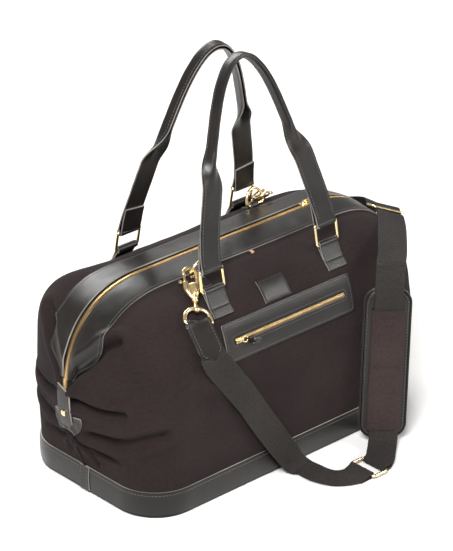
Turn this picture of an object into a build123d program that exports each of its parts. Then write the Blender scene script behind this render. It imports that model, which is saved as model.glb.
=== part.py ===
"""Weekender bag: canvas body on a leather base band, leather zip facings, two
shoulder-length handles on rectangular rings, and a clip-on webbing strap with a pad.

Frame: millimetres, +Z up, origin at the centre of the underside.  X runs along the
bag, -Y is the front with the zipped pocket.  The canvas body is one family of cubic
curves that run from the top of the base band up to the line of the main zip.
"""
import os
from math import cos, hypot, pi, radians, sin

from build123d import *

# ---- body -------------------------------------------------------------------------
BASE_LENGTH, BASE_DEPTH, BASE_CORNER = 490.0, 255.0, 60.0
BAND_HEIGHT, BAND_THICK = 36.0, 2.2
ZIP_HEIGHT = 282.0            # top of the bag, along the main zip
STRAIGHT_ZIP = 150.0          # half length of the level run of the zip
END_BULGE_X, END_BULGE_Z = 275.0, 150.0   # where the zip line reaches furthest out
RISE, REACH, BELLY, CROWN = 0.80, 0.40, 0.03, 0.02  # fullness of the side curves
CANVAS, LINING_LIFT, LINING_THICK = 1.8, -5.0, 0.8

# ---- main zip and its leather facings ---------------------------------------------
FACING_WIDTH, FOOT_WIDTH, FACING_LAP = 43.0, 12.0, 4.0
FACING = (0.5, 2.5)           # how far the facings lie off the surface
CHAIN_HALF, CHAIN_GAP, TAPE_WIDTH = 3.4, 0.3, 15.0
MOUTH_HALF = 115.0            # half length of the part of the mouth that hinges open
ZIP_FOOT, ZIP_TAPER = 0.235, 0.30         # where the facings start and are full width
SLIDER_X = 138.0

# ---- straps and hardware ----------------------------------------------------------
HANDLE_WIDTH, HANDLE_THICK = 32.0, 3.0
HANDLE_X, RING_Y, RING_Z, RING_LEAN = 100.0, 83.0, 271.0, 11.0
RING_INNER, RING_PITCH, RING_WIRE = 33.0, 27.0, 2.0
LOOP_INNER, LOOP_OUTER = 2.3, 4.8         # leather eyes on the ring bars
WEB_WIDTH, WEB_THICK = 38.0, 1.8
D_WIDTH, D_HEIGHT, D_WIRE = 28.0, 22.0, 1.8
PAD_LENGTH, PAD_WIDTH = 206.0, 62.0

GAP = 0.3


def vec(x, y, z):
    return Vector(x, y, z)


# ---- the surface of the bag -------------------------------------------------------
def base_point(q):
    """Front left quarter of the base outline, q from 0 at the end to 1 at the middle."""
    side = BASE_DEPTH / 2 - BASE_CORNER
    arc = BASE_CORNER * pi / 2
    front = BASE_LENGTH / 2 - BASE_CORNER
    run = q * (side + arc + front)
    if run < side:
        return -BASE_LENGTH / 2, -run, (-1.0, 0.0)
    if run < side + arc:
        turn = (run - side) / BASE_CORNER
        x = -BASE_LENGTH / 2 + BASE_CORNER * (1 - cos(turn))
        return x, -side - BASE_CORNER * sin(turn), (-cos(turn), -sin(turn))
    return -front + (run - side - arc), -BASE_DEPTH / 2, (0.0, -1.0)


def cubic(points, t):
    a, b, c, d = points
    s = 1 - t
    return a * s**3 + b * 3 * s * s * t + c * 3 * s * t * t + d * t**3


FOOT_SPAN, SHOULDER_SPAN = 0.2, 0.4       # shares of the outline below the straight run
ZIP_FOOT_CURVE = [vec(-245, 0, 36), vec(-258, 0, 70), vec(-275, 0, 105), vec(-275, 0, 150)]
ZIP_SHOULDER_CURVE = [vec(-275, 0, 150), vec(-275, 0, 250), vec(-215, 0, 282), vec(-150, 0, 282)]


def ridge_point(q):
    """Left half of the zip line, q from 0 at its foot to 1 at the middle of the bag."""
    if q < FOOT_SPAN:
        return cubic(ZIP_FOOT_CURVE, q / FOOT_SPAN)
    if q < FOOT_SPAN + SHOULDER_SPAN:
        return cubic(ZIP_SHOULDER_CURVE, (q - FOOT_SPAN) / SHOULDER_SPAN)
    share = (1 - q) / (1 - FOOT_SPAN - SHOULDER_SPAN)
    return vec(-STRAIGHT_ZIP * share, 0, ZIP_HEIGHT)


def ridge_normal(q):
    ahead, behind = ridge_point(min(q + 0.004, 1.0)), ridge_point(max(q - 0.004, 0.0))
    tangent = (ahead - behind).normalized()
    return vec(-tangent.Z, 0, tangent.X)


def curve_at(u, side):
    """Control points of one side curve: u from -1 (left) to 1 (right), side -1 or 1."""
    q = 1 - abs(u)
    x, y, out = base_point(q)
    low, high = vec(x, y, BAND_HEIGHT), ridge_point(q)
    span = hypot(high.Y - low.Y, high.Z - low.Z)
    rise = vec(out[0] * BELLY * span, out[1] * BELLY * span, RISE * span)
    drop = vec(0, -REACH * span, 0) - ridge_normal(q) * (CROWN * span)
    points = [low, low + rise * 0.9, high + drop, high]
    flip_x, flip_y = (1 if u <= 0 else -1), -side
    return [vec(p.X * flip_x, p.Y * flip_y, p.Z) for p in points]


def skin(u, t, side, lift=0.0):
    """A point of the bag's surface, moved out along its normal by lift."""
    here = cubic(curve_at(u, side), t)
    if not lift:
        return here
    step = 0.003
    across = cubic(curve_at(min(u + step, 1), side), t) - cubic(curve_at(max(u - step, -1), side), t)
    low_t, high_t = max(t - step, 0.0), min(t + step, 1.0)
    curve = curve_at(u, side)
    along = cubic(curve, high_t) - cubic(curve, low_t)
    normal = across.cross(along).normalized() * -side
    return here + normal * lift


def from_zip(u, distance):
    """The t that lies a distance from the zip line, measured along the surface."""
    curve = curve_at(u, -1)
    steps, walked, last = 120, 0.0, cubic(curve, 1.0)
    for k in range(1, steps + 1):
        t = 1 - k / steps
        here = cubic(curve, t)
        length = (here - last).length
        if walked + length >= distance:
            return t + (1 - (distance - walked) / length) / steps
        walked, last = walked + length, here
    return 0.0


def at_height(z, u=0.0):
    """The t at which a side curve reaches a height."""
    low, high = 0.0, 1.0
    for _ in range(40):
        middle = (low + high) / 2
        if cubic(curve_at(u, -1), middle).Z < z:
            low = middle
        else:
            high = middle
    return low


def u_of(x):
    """The u of a place on the level run of the zip."""
    return x / STRAIGHT_ZIP * (1 - FOOT_SPAN - SHOULDER_SPAN)


def spread(first, last, count):
    return [first + (last - first) * k / (count - 1) for k in range(count)]


# ---- building blocks --------------------------------------------------------------
def flatten(points):
    """Lays a list of points on the plane of its first, last and middle corner."""
    half = len(points) // 2
    plane = Plane(origin=points[0], x_dir=points[half - 1] - points[0],
                  z_dir=(points[half - 1] - points[0]).cross(points[-1] - points[0]))
    flat = [plane.to_local_coords(p) for p in points]
    return [plane.from_local_coords(vec(p.X, p.Y, 0)) for p in flat]


def patch_wire(points):
    half = len(points) // 2
    outer, inner = points[:half], points[half:]
    edges = []
    for row in (outer, inner):
        edges.append(Edge.make_line(row[0], row[-1]) if half == 2 else Edge.make_spline(row))
    edges.insert(1, Edge.make_line(outer[-1], inner[0]))
    edges.append(Edge.make_line(inner[-1], outer[0]))
    return Wire(edges)


def strip(us, low, high, side, bottom, top, points=7):
    """A thin piece on the bag's surface: u range, t limits as functions of u, lifts."""
    wires = []
    for k, u in enumerate(us):
        ts = spread(low(u), high(u), points)
        ring = [skin(u, t, side, top) for t in ts]
        ring += [skin(u, t, side, bottom) for t in reversed(ts)]
        if k in (0, len(us) - 1):
            ring = flatten(ring)
        wires.append(patch_wire(ring))
    return Solid.make_loft(wires, ruled=True)


def prism(outline, x_low, x_high):
    """A closed outline of (y, z) points, extruded from one x to another."""
    corners = [vec(x_low, y, z) for y, z in outline]
    return Solid.extrude(Face(Wire.make_polygon(corners, close=True)), vec(x_high - x_low, 0, 0))


def plaque(x_low, x_high, z_low, z_high, side, bottom, top, count=9):
    """A flat piece sewn on the front or back, between two heights of the surface."""
    ts = spread(at_height(z_low), at_height(z_high), count)
    outer = [skin(0, t, side, top) for t in ts]
    inner = [skin(0, t, side, bottom) for t in reversed(ts)]
    return prism([(p.Y, p.Z) for p in outer + inner], x_low, x_high)


def catmull(points, per_span):
    """A smooth run of points through the given ones."""
    padded = [points[0] * 2 - points[1]] + points + [points[-1] * 2 - points[-2]]
    run = []
    for a, b, c, d in zip(padded, padded[1:], padded[2:], padded[3:]):
        for k in range(per_span):
            t = k / per_span
            run.append((b * 2 + (c - a) * t + (a * 2 - b * 5 + c * 4 - d) * t * t
                        + (b * 3 - a - c * 3 + d) * t**3) * 0.5)
    return run + [points[-1]]


def ribbon(path, widths, width, thick):
    """A flat strap: smooth path points and the direction of its width at each."""
    wires = []
    for k, here in enumerate(path):
        ahead, behind = path[min(k + 1, len(path) - 1)], path[max(k - 1, 0)]
        along = (ahead - behind).normalized()
        across = (widths[k] - along * widths[k].dot(along)).normalized()
        face = along.cross(across)
        wide, deep = across * (width / 2), face * (thick / 2)
        corners = [here + wide + deep, here - wide + deep, here - wide - deep, here + wide - deep]
        wires.append(Wire.make_polygon(corners, close=True))
    return Solid.make_loft(wires, ruled=True)


def strap(stations, width, thick, per_span=4):
    """A strap through stations, each a place and the direction of the strap's width."""
    path = catmull([vec(*place) for place, _ in stations], per_span)
    widths = catmull([vec(*across) for _, across in stations], per_span)
    return ribbon(path, widths, width, thick)


def tube(wire, radius, plane):
    """A closed tube of round wire along a flat closed outline, laid on a plane."""
    longest = max(wire.edges(), key=lambda edge: edge.length)
    section = Plane(origin=longest @ 0.5, z_dir=longest % 0.5)
    body = Solid.sweep(Face(Wire(Edge.make_circle(radius, section))), wire)
    return plane.location * body


def plane_at(origin, x_dir, up_dir):
    """A plane with the given x axis whose y axis is nearest to up_dir."""
    x_axis = vec(*x_dir).normalized()
    normal = x_axis.cross(vec(*up_dir)).normalized()
    return Plane(origin=origin, x_dir=(x_axis.X, x_axis.Y, x_axis.Z),
                 z_dir=(normal.X, normal.Y, normal.Z))


def turned(shape):
    """The same piece at the opposite corner of the bag."""
    return Rot(0, 0, 180) * shape


def mirrored_x(shape):
    return shape.mirror(Plane.YZ)


nodes = {}


def keep(name, *shapes):
    nodes.setdefault(name, []).extend(shapes)


# ---- base ---------------------------------------------------------------------------
def base_face(inset):
    corner = BASE_CORNER - inset
    return RectangleRounded(BASE_LENGTH - 2 * inset, BASE_DEPTH - 2 * inset, corner).face()


WELT_RADIUS, PANEL_THICK, BOARD_THICK = 2.0, 2.2, 2.0


def build_base():
    welt_path = base_face(WELT_RADIUS).outer_wire()
    keep("base_welt", tube(welt_path, WELT_RADIUS, Plane.XY.offset(WELT_RADIUS)))
    panel_face = base_face(2 * WELT_RADIUS + GAP)
    keep("base_panel", Solid.extrude(panel_face, vec(0, 0, PANEL_THICK)))
    board = Pos(0, 0, PANEL_THICK + GAP) * base_face(9.0)
    keep("base_board", Solid.extrude(board.face(), vec(0, 0, BOARD_THICK)))
    band_foot = 2 * WELT_RADIUS + GAP
    rise = vec(0, 0, BAND_HEIGHT - GAP - band_foot)
    lift = Pos(0, 0, band_foot)
    outer = Solid.extrude((lift * base_face(0)).face(), rise)
    inner = Solid.extrude((lift * base_face(BAND_THICK)).face(), rise)
    keep("base_band", outer - inner)


# ---- canvas, lining and facings -------------------------------------------------------
SIDES = {"front": -1, "back": 1}
SEAM_Q = 0.03                 # how near the canvas runs to the corner of the end seam
TOP_U = u_of(MOUTH_HALF)


def facing_width(q):
    """Width of leather from the zip line, tapering off at the foot of the zip."""
    share = min(max((q - ZIP_FOOT) / (ZIP_TAPER - ZIP_FOOT), 0.0), 1.0)
    return FOOT_WIDTH + (FACING_WIDTH - FOOT_WIDTH) * share * share * (3 - 2 * share)


def canvas_top(u):
    q = 1 - abs(u)
    if q < ZIP_FOOT - 0.001:
        return from_zip(u, 0.8)
    return from_zip(u, facing_width(q) - FACING_LAP)


def end_stations():
    """Stations along the left end facing, from the foot of the zip to the mouth."""
    return spread(ZIP_FOOT - 1, -TOP_U, 19)


def build_body():
    left = spread(SEAM_Q - 1, ZIP_FOOT - 1 - 0.002, 9) + end_stations()
    us = left + spread(-TOP_U, TOP_U, 11)[1:-1] + [-u for u in reversed(left)]
    for name, side in SIDES.items():
        keep("canvas_" + name, strip(us, lambda u: 0.0, canvas_top, side, -CANVAS, 0))
        keep("lining_" + name, strip(spread(-0.94, 0.94, 41), lambda u: 0.02,
                                     lambda u: from_zip(u, FACING_WIDTH + 3), side,
                                     LINING_LIFT, LINING_LIFT + LINING_THICK))


FACING_INSET = CHAIN_HALF + 2.6


def leather_edge(u):
    return from_zip(u, facing_width(1 - abs(u)))


def tape_edge(u):
    return from_zip(u, min(TAPE_WIDTH, facing_width(1 - abs(u)) - FACING_LAP - GAP))


def zip_strips(us, side):
    """Facing, tape and chain of one side of the zip over a range of u."""
    facing = strip(us, leather_edge, lambda u: from_zip(u, FACING_INSET), side, *FACING, points=4)
    tape = strip(us, tape_edge, lambda u: from_zip(u, CHAIN_HALF + 0.2), side, -1.4, -0.4, points=2)
    chain = strip(us, lambda u: from_zip(u, CHAIN_HALF), lambda u: from_zip(u, CHAIN_GAP),
                  side, -2.0, 1.2, points=2)
    return facing, tape, chain


def build_zip():
    left = end_stations()[:-1] + [-TOP_U - 0.001]
    ends = {"left": left, "right": [-u for u in reversed(left)]}
    for name, side in SIDES.items():
        facing, tape, chain = zip_strips([-TOP_U, TOP_U], side)
        keep("zip_facing_" + name, facing)
        keep("zip_tape_" + name, tape)
        keep("zip_chain_" + name, chain)
        for end_name, us in ends.items():
            facing, tape, chain = zip_strips(us, side)
            keep("zip_facing_end_" + end_name, facing)
            keep("zip_tape_ends", tape)
            keep("zip_chain_ends", chain)


# ---- sliders and pulls ----------------------------------------------------------------
SLIDER_LIFT = ZIP_HEIGHT - 0.8
BAIL_HEIGHT, PULL_EYE = 4.6, 1.2
PULL_DROOP = 20.0             # how far the pocket puller hangs down, in degrees


def bail():
    """Arch on a slider, standing on its base, for the puller's ring."""
    return Pos(0, 0, BAIL_HEIGHT / 2) * (Box(8, 1.8, BAIL_HEIGHT) - Box(5, 4, 2.6))


def pull_tab(length, width, droop=0.0):
    """Puller lying along +X, its ring round a bail at the origin."""
    centre = Pos(PULL_EYE + 3.8, 0, 0)
    ring_part = Cylinder(4.6, 1.6) - Cylinder(3.0, 3)
    tab = Rot(0, 0, -droop) * Pos(4.0 + length / 2, 0, 0) * Box(length, width, 2.2)
    return centre * (ring_part + tab)


def build_zip_slider():
    upper = Pos(SLIDER_X, 0, SLIDER_LIFT + 3.2) * Box(13, 11, 1.6)
    lower = Pos(SLIDER_X, 0, SLIDER_LIFT - 3.4) * Box(13, 11, 1.6)
    post = Pos(SLIDER_X + 5.7, 0, SLIDER_LIFT) * Box(1.4, 0.3, 6)
    arch = Pos(SLIDER_X, 0, SLIDER_LIFT + 4.0) * bail()
    keep("zip_slider", upper + lower + post + arch)
    keep("zip_pull", Pos(SLIDER_X, 0, SLIDER_LIFT + 4.0 + BAIL_HEIGHT / 2) * pull_tab(34, 9))


# ---- front pocket and patch -------------------------------------------------------------
POCKET_HALF, POCKET_LOW, POCKET_HIGH = 111.0, 184.0, 231.0
POCKET_ZIP_HALF, POCKET_ZIP_LOW, POCKET_ZIP_HIGH = 97.0, 205.0, 213.0
POCKET_BAG_LOW = 75.0
LEATHER = (0.3, 2.1)          # how far sewn-on leather lies off the canvas


def pocket_plane():
    """A plane on the middle of the pocket zip: x along the bag, y up the canvas."""
    t = at_height((POCKET_ZIP_LOW + POCKET_ZIP_HIGH) / 2)
    here, above = skin(0, t, -1), skin(0, t + 0.01, -1)
    return plane_at(here, (1, 0, 0), above - here)


def build_pocket():
    panel = plaque(-POCKET_HALF, POCKET_HALF, POCKET_LOW, POCKET_HIGH, -1, *LEATHER)
    slot = plaque(-POCKET_ZIP_HALF, POCKET_ZIP_HALF, POCKET_ZIP_LOW, POCKET_ZIP_HIGH, -1, -1, 5)
    keep("pocket_panel", panel - slot)
    inset = POCKET_ZIP_HALF - GAP
    keep("pocket_zip_tape", plaque(-inset, inset, POCKET_ZIP_LOW + GAP,
                                   POCKET_ZIP_HIGH - GAP, -1, LEATHER[0], 0.8, 3))
    middle = (POCKET_ZIP_LOW + POCKET_ZIP_HIGH) / 2
    keep("pocket_zip_chain", plaque(-inset + 2, inset - 2, middle - 2.4, middle + 2.4,
                                    -1, 1.0, 2.6, 3))
    keep("pocket_bag", plaque(-POCKET_HALF + 4, POCKET_HALF - 4, POCKET_BAG_LOW,
                              POCKET_HIGH - 6, -1, -3.4, -2.2))
    place = pocket_plane()
    home = Pos(6 - POCKET_ZIP_HALF, 0, 0)
    body = Pos(0, 0, 4.0) * Box(10, 7, 1.6)
    keep("pocket_slider", place.location * home * (body + Pos(0, 0, 4.8) * bail()))
    pull = Pos(0, 0, 4.8 + BAIL_HEIGHT / 2) * pull_tab(27, 8, PULL_DROOP)
    keep("pocket_pull", place.location * home * pull)


PATCH_CENTRE_X, PATCH_HALF, PATCH_LOW, PATCH_HIGH = -9.0, 22.0, 235.0, 257.0


def build_patch():
    keep("leather_patch", plaque(PATCH_CENTRE_X - PATCH_HALF, PATCH_CENTRE_X + PATCH_HALF,
                                 PATCH_LOW, PATCH_HIGH, -1, *LEATHER))


# ---- handle rings, their tabs, and the handles --------------------------------------------
TAB_FOOT_Z, TAB_THICK = 231.0, 2.4


def lean_point(x, height, off=0.0):
    """A point of the plane that a front handle lies in, height above the lower ring bar."""
    tilt = radians(RING_LEAN)
    return vec(x, -RING_Y + height * sin(tilt) + off * cos(tilt),
               RING_Z + height * cos(tilt) - off * sin(tilt))


def eye_on_bar(x_low, x_high, centre, inner, outer):
    """A leather eye around a bar that runs along X."""
    span = x_high - x_low
    place = Pos((x_low + x_high) / 2, centre.Y, centre.Z) * Rot(0, 90, 0)
    return place * (Cylinder(outer, span) - Cylinder(inner, span + 2))


def bored(shape, x, centre, radius):
    return shape - Pos(x, centre.Y, centre.Z) * Rot(0, 90, 0) * Cylinder(radius, 4 * HANDLE_WIDTH)


def ring_tab(x):
    """Tab sewn on the shoulder of the bag, looped round the lower bar of a ring."""
    low, high = x - HANDLE_WIDTH / 2, x + HANDLE_WIDTH / 2
    bar = lean_point(x, 0)
    t_high = at_height(TAB_FOOT_Z + 15)
    ts = spread(at_height(TAB_FOOT_Z), t_high, 5)
    top = [skin(0, t, -1, LEATHER[0] + TAB_THICK) for t in ts]
    under = [skin(0, t, -1, LEATHER[0]) for t in ts]
    rise = bar - under[-1]
    away = vec(0, -rise.Z, rise.Y).normalized() * 2.6
    near, far = bar + away, bar - away
    outline = [(p.Y, p.Z) for p in top] + [(near.Y, near.Z), (far.Y, far.Z)]
    outline += [(p.Y, p.Z) for p in reversed(under)]
    body = prism(outline, low, high) + eye_on_bar(low, high, bar, LOOP_INNER, LOOP_OUTER)
    return bored(body, x, bar, LOOP_INNER)


def ring(x):
    centre = lean_point(x, RING_PITCH / 2)
    place = plane_at(centre, (1, 0, 0), lean_point(x, RING_PITCH) - lean_point(x, 0))
    outline = RectangleRounded(RING_INNER + 2 * RING_WIRE, RING_PITCH, 2.45)
    return tube(outline.face().outer_wire(), RING_WIRE, place)


HANDLE_ARCH = [(98, 22), (93, 45), (85, 75), (76, 108), (68, 136), (59, 164), (48, 195),
               (35, 222), (18, 243), (0, 250)]   # x and height above the upper ring bar
FOLD_START, FOLD_END = 95.0, 150.0        # where the strap closes into a double grip
GRIP_WIDE, GRIP_THICK = 16.0, 6.6


def grip_share(height):
    share = min(max((height - FOLD_START) / (FOLD_END - FOLD_START), 0.0), 1.0)
    return share * share * (3 - 2 * share)


def handle():
    """Front handle: flat strap ends looped round the rings, folded double on top."""
    left = [(-x, h) for x, h in HANDLE_ARCH]
    right = [(x, h) for x, h in reversed(HANDLE_ARCH[:-1])]
    path = catmull([vec(x, h, 0) for x, h in left + right], 4)
    wires = []
    for k, here in enumerate(path):
        ahead, behind = path[min(k + 1, len(path) - 1)], path[max(k - 1, 0)]
        along = (ahead - behind).normalized()
        across = vec(-along.Y, along.X, 0) if k not in (0, len(path) - 1) else vec(1, 0, 0)
        fold = grip_share(here.Y)
        wide = HANDLE_WIDTH + (GRIP_THICK - HANDLE_WIDTH) * fold
        back = HANDLE_THICK / 2 + (GRIP_WIDE - HANDLE_THICK / 2) * fold
        half = across * (wide / 2)
        ring_points = []
        for reach, off in ((half, -HANDLE_THICK / 2), (half, back), (half * -1, back),
                           (half * -1, -HANDLE_THICK / 2)):
            flat = here + reach
            ring_points.append(lean_point(flat.X, RING_PITCH + flat.Y, off))
        wires.append(Wire.make_polygon(ring_points, close=True))
    body = Solid.make_loft(wires, ruled=True)
    for x in (-HANDLE_X, HANDLE_X):
        low, high = x - HANDLE_WIDTH / 2, x + HANDLE_WIDTH / 2
        bar = lean_point(x, RING_PITCH)
        foot, head = lean_point(x, RING_PITCH + 1), lean_point(x, RING_PITCH + 23)
        side = vec(0, cos(radians(RING_LEAN)), -sin(radians(RING_LEAN)))
        thick = {foot: 3.0, head: 2.6}
        outline = [foot - side * thick[foot], head - side * thick[head],
                   head + side * thick[head], foot + side * thick[foot]]
        sleeve = prism([(p.Y, p.Z) for p in outline], low, high)
        end = sleeve + eye_on_bar(low, high, bar, LOOP_INNER, LOOP_OUTER)
        body = body + bored(end, x, bar, LOOP_INNER)
    return body


def build_handles():
    grip = handle()
    keep("handle_front", grip)
    keep("handle_back", turned(grip))
    for x, end in ((-HANDLE_X, "left"), (HANDLE_X, "right")):
        other = "right" if end == "left" else "left"
        keep("ring_tab_front_" + end, ring_tab(x))
        keep("ring_tab_back_" + other, turned(ring_tab(x)))
        keep("rings_front", ring(x))
        keep("rings_back", turned(ring(x)))


# ---- D-rings and snap hooks ---------------------------------------------------------------
D_X, D_Y, D_Z, D_LEAN = -99.0, -52.0, 279.2, 15.0
CROOK = vec(-113.5, -54.5, 286.0)         # centre of the crook of the front hook
EYE_BAR = vec(-149.0, -110.0, 250.0)      # bar of the front hook's eye
FRONT_TURN, BACK_TURN = -5.0, 20.0       # how far the two eyes are swivelled


def d_ring():
    """D-ring that stands on its straight bar, leaning a little forward."""
    tilt = radians(D_LEAN)
    place = plane_at(vec(D_X, D_Y, D_Z), (1, 0, 0), vec(0, -sin(tilt), cos(tilt)))
    dome = Pos(0, 4) * Ellipse(D_WIDTH / 2, D_HEIGHT - 4)
    lower = Pos(0, -25) * Rectangle(4 * D_WIDTH, 50)
    foot = Pos(0, 2) * Rectangle(D_WIDTH, 4)
    outline = (dome - lower) + foot
    corners = [v for v in outline.vertices() if v.Y < 0.5]
    outline = fillet(corners, 3.0)
    return tube(outline.face().outer_wire(), D_WIRE, place)


def d_keeper():
    """Short leather loop round the bar of the D-ring, caught in the facing seam."""
    low, high = D_X - 3.0, D_X + 9.0
    bar = vec(D_X, D_Y, D_Z)
    ts = spread(from_zip(0, FACING_WIDTH + 28), from_zip(0, FACING_WIDTH + 15), 7)
    top = [skin(0, t, -1, 2.0) for t in ts]
    under = [skin(0, t, -1, 2 * LEATHER[0]) for t in ts]
    near, far = bar + vec(0, -1.6, 2.4), bar + vec(0, 0.4, -2.4)
    outline = [(p.Y, p.Z) for p in top] + [(near.Y, near.Z), (far.Y, far.Z)]
    outline += [(p.Y, p.Z) for p in reversed(under)]
    eye = eye_on_bar(low, high, bar, D_WIRE + GAP, D_WIRE + GAP + 1.4)
    return bored(prism(outline, low, high) + eye, D_X, bar, D_WIRE + GAP)


def hook_plane():
    """Plane of the front snap hook: origin in its crook, -Y towards the eye."""
    axis = (EYE_BAR - CROOK).normalized()
    across = (vec(1, 0, 0) - axis * axis.X).normalized()
    return plane_at(CROOK, (across.X, across.Y, across.Z), axis * -1)


HOOK_THICK, CROOK_OUTER, CROOK_INNER = 5.4, 10.8, 6.8
BOLT_X, BOLT_RADIUS, BOLT_TRAVEL = -8.6, 1.7, 8.0
NECK_Y = -41.0


def hook_body():
    ring_part = Cylinder(CROOK_OUTER, HOOK_THICK) - Cylinder(CROOK_INNER, HOOK_THICK + 2)
    gate_gap = Pos(-9, -6, 0) * Box(9.6, 12.0, HOOK_THICK + 2)
    shank_line = Polyline((10.6, 1), (8.6, -16), (3.6, -36), (3.6, NECK_Y), (-3.6, NECK_Y),
                          (-3.8, -36), (-12.0, -27), (-12.0, -12.2), (-4.0, -12.2),
                          (3.5, -8), (6.9, 1), close=True)
    shank = extrude(make_face(shank_line), HOOK_THICK / 2, both=True)
    barrel = Pos(BOLT_X, -20, 0) * Rot(90, 0, 0) * Cylinder(4.2, 15.0)
    bore = Pos(BOLT_X, -17.5, 0) * Rot(90, 0, 0) * Cylinder(BOLT_RADIUS + GAP, 14.0)
    slot = Pos(BOLT_X - 4, -18.2, 0) * Box(8.0, 12.6, 2.8)
    return ring_part - gate_gap + shank + barrel - bore - slot


def hook_bolt():
    """Spring bolt that closes the crook, with its thumb knob."""
    pin = Pos(BOLT_X, -7.7, 0) * Rot(90, 0, 0) * Cylinder(BOLT_RADIUS, 14.0)
    stem = Pos(BOLT_X - 3.4, -13.6, 0) * Box(6.0, 1.9, 1.9)
    knob = Pos(BOLT_X - 7.0, -13.6, 0) * Rot(0, 90, 0) * Cylinder(2.6, 2.4)
    return pin + stem + knob


EYE_WIDTH, EYE_HEIGHT, EYE_WIRE = 45.0, 26.0, 2.1


def hook_eye():
    """Swivel eye: a wide D with a stem that turns in the neck of the hook."""
    bar_y = -(EYE_BAR - CROOK).length
    dome = Pos(0, bar_y + 6) * Ellipse(EYE_WIDTH / 2, EYE_HEIGHT - 6)
    lower = Pos(0, bar_y - 25 + 6) * Rectangle(4 * EYE_WIDTH, 50)
    foot = Pos(0, bar_y + 3) * Rectangle(EYE_WIDTH, 6)
    outline = (dome - lower) + foot
    corners = [v for v in outline.vertices() if v.Y < bar_y + 0.5]
    outline = fillet(corners, 3.0)
    loop = tube(outline.face().outer_wire(), EYE_WIRE, Plane.XY)
    stem_top = NECK_Y - GAP
    length = stem_top - (bar_y + EYE_HEIGHT)
    stem = Pos(0, stem_top - length / 2, 0) * Rot(90, 0, 0) * Cylinder(2.4, length)
    collar = Pos(0, bar_y + EYE_HEIGHT, 0) * Rot(90, 0, 0) * Cylinder(3.6, 5.0)
    return loop + stem + collar


def build_hooks():
    place = hook_plane().location
    for name, piece in (("hook", hook_body()), ("hook_bolt", hook_bolt())):
        front = place * piece
        keep(name + "_front", front)
        keep(name + "_back", turned(front))
    eye = hook_eye()
    keep("hook_eye_front", place * Rot(0, FRONT_TURN, 0) * eye)
    keep("hook_eye_back", turned(place * Rot(0, BACK_TURN, 0) * eye))
    keep("d_ring_front", d_ring())
    keep("d_ring_back", turned(d_ring()))
    keep("d_keeper_front", d_keeper())
    keep("d_keeper_back", turned(d_keeper()))


# ---- shoulder strap ---------------------------------------------------------------------
STRAP_TAB_LENGTH, STRAP_TAB_THICK, TAB_SLOT = 48.0, 6.0, 3.0
BAR_ACROSS = EYE_WIRE + GAP            # bore of the leather round the eye bar
FRONT_DOWN = vec(0.159, -0.426, -0.891)    # how the strap leaves the front hook
BACK_DOWN = vec(0.586, 0.31, -0.75)


def bar_direction(turn):
    """Direction of the eye bar of the front hook, swivelled by turn degrees."""
    plane = hook_plane()
    return plane.x_dir * cos(radians(turn)) - plane.z_dir * sin(radians(turn))


def tab_stations(bar, across, down, distances):
    flat = (across - down * across.dot(down)).normalized()
    return [(bar + down * d, across + (flat - across) * min(d / 30, 1)) for d in distances]


def strap_tab(bar, across, down):
    """Leather folded round the eye bar and sewn over the end of the webbing."""
    leather = strap(tab_stations(bar, across, down, (1, 16, 32, STRAP_TAB_LENGTH)),
                    WEB_WIDTH, STRAP_TAB_THICK)
    slot = strap(tab_stations(bar, across, down, (14, 30, 45, 60)), WEB_WIDTH + 2, TAB_SLOT)
    place = Plane(origin=bar, z_dir=across)
    eye = place.location * Cylinder(BAR_ACROSS + 1.7, WEB_WIDTH)
    bore = place.location * Cylinder(BAR_ACROSS, 2 * WEB_WIDTH)
    return leather + eye - bore - slot


FRONT_WEB = [((-112, -131.5, 163), (0.85, -0.2, 0.5)), ((-89, -135, 130), (0.85, 0, 0.5)),
             ((-69, -136.5, 98), (0.85, 0, 0.5)), ((-48, -137.5, 66), (0.85, 0, 0.5)),
             ((-29, -138, 38), (0.87, 0.1, 0.45)), ((-12, -140, 14), (0.9, 0.2, 0.3)),
             ((-3, -148, 5), (0.95, 0.3, 0)), ((-1, -160, 3), (0.95, 0.3, 0)),
             ((1, -180, 3), (0.9, 0.45, 0)), ((10, -198, 3), (0.5, 0.85, 0))]
LINK_LEFT, LINK_RIGHT, LINK_Y, LINK_Z, LINK_WIRE = 45.0, 69.0, -209.0, 5.5, 2.0
WRAP = LINK_WIRE + GAP + WEB_THICK / 2


def webbing_front():
    """Webbing from the front hook to the lower ring, turned back round its left bar."""
    across = bar_direction(FRONT_TURN)
    stations = tab_stations(EYE_BAR, across, FRONT_DOWN, (15, 30, 45, 56)) + FRONT_WEB
    flat = (0.0, 1.0, 0.0)
    stations.append(((28, LINK_Y, 4.2), flat))
    for turn in (90, 30, -30, -90):
        place = (LINK_LEFT + WRAP * cos(radians(turn)), LINK_Y, LINK_Z + WRAP * sin(radians(turn)))
        stations.append((place, flat))
    stations.append(((26, LINK_Y, 1.4), flat))
    return strap(stations, WEB_WIDTH, WEB_THICK, 3)


PAD_FOOT = vec(118, -174, 9)
PAD_ALONG = vec(0.13, 0.095, 0.987).normalized()
PAD_ACROSS = (vec(0.784, -0.631, -0.0425) - PAD_ALONG * 0.0003).normalized()
LAYER = 1.6                            # half distance between the two webbing layers
SLIDER_AT, SLIDER_ALONG = vec(255, -36, 252.5), vec(0.395, 0.864, -0.3125)
SLIDER_ACROSS = vec(0.81, -0.49, -0.33)

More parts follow.
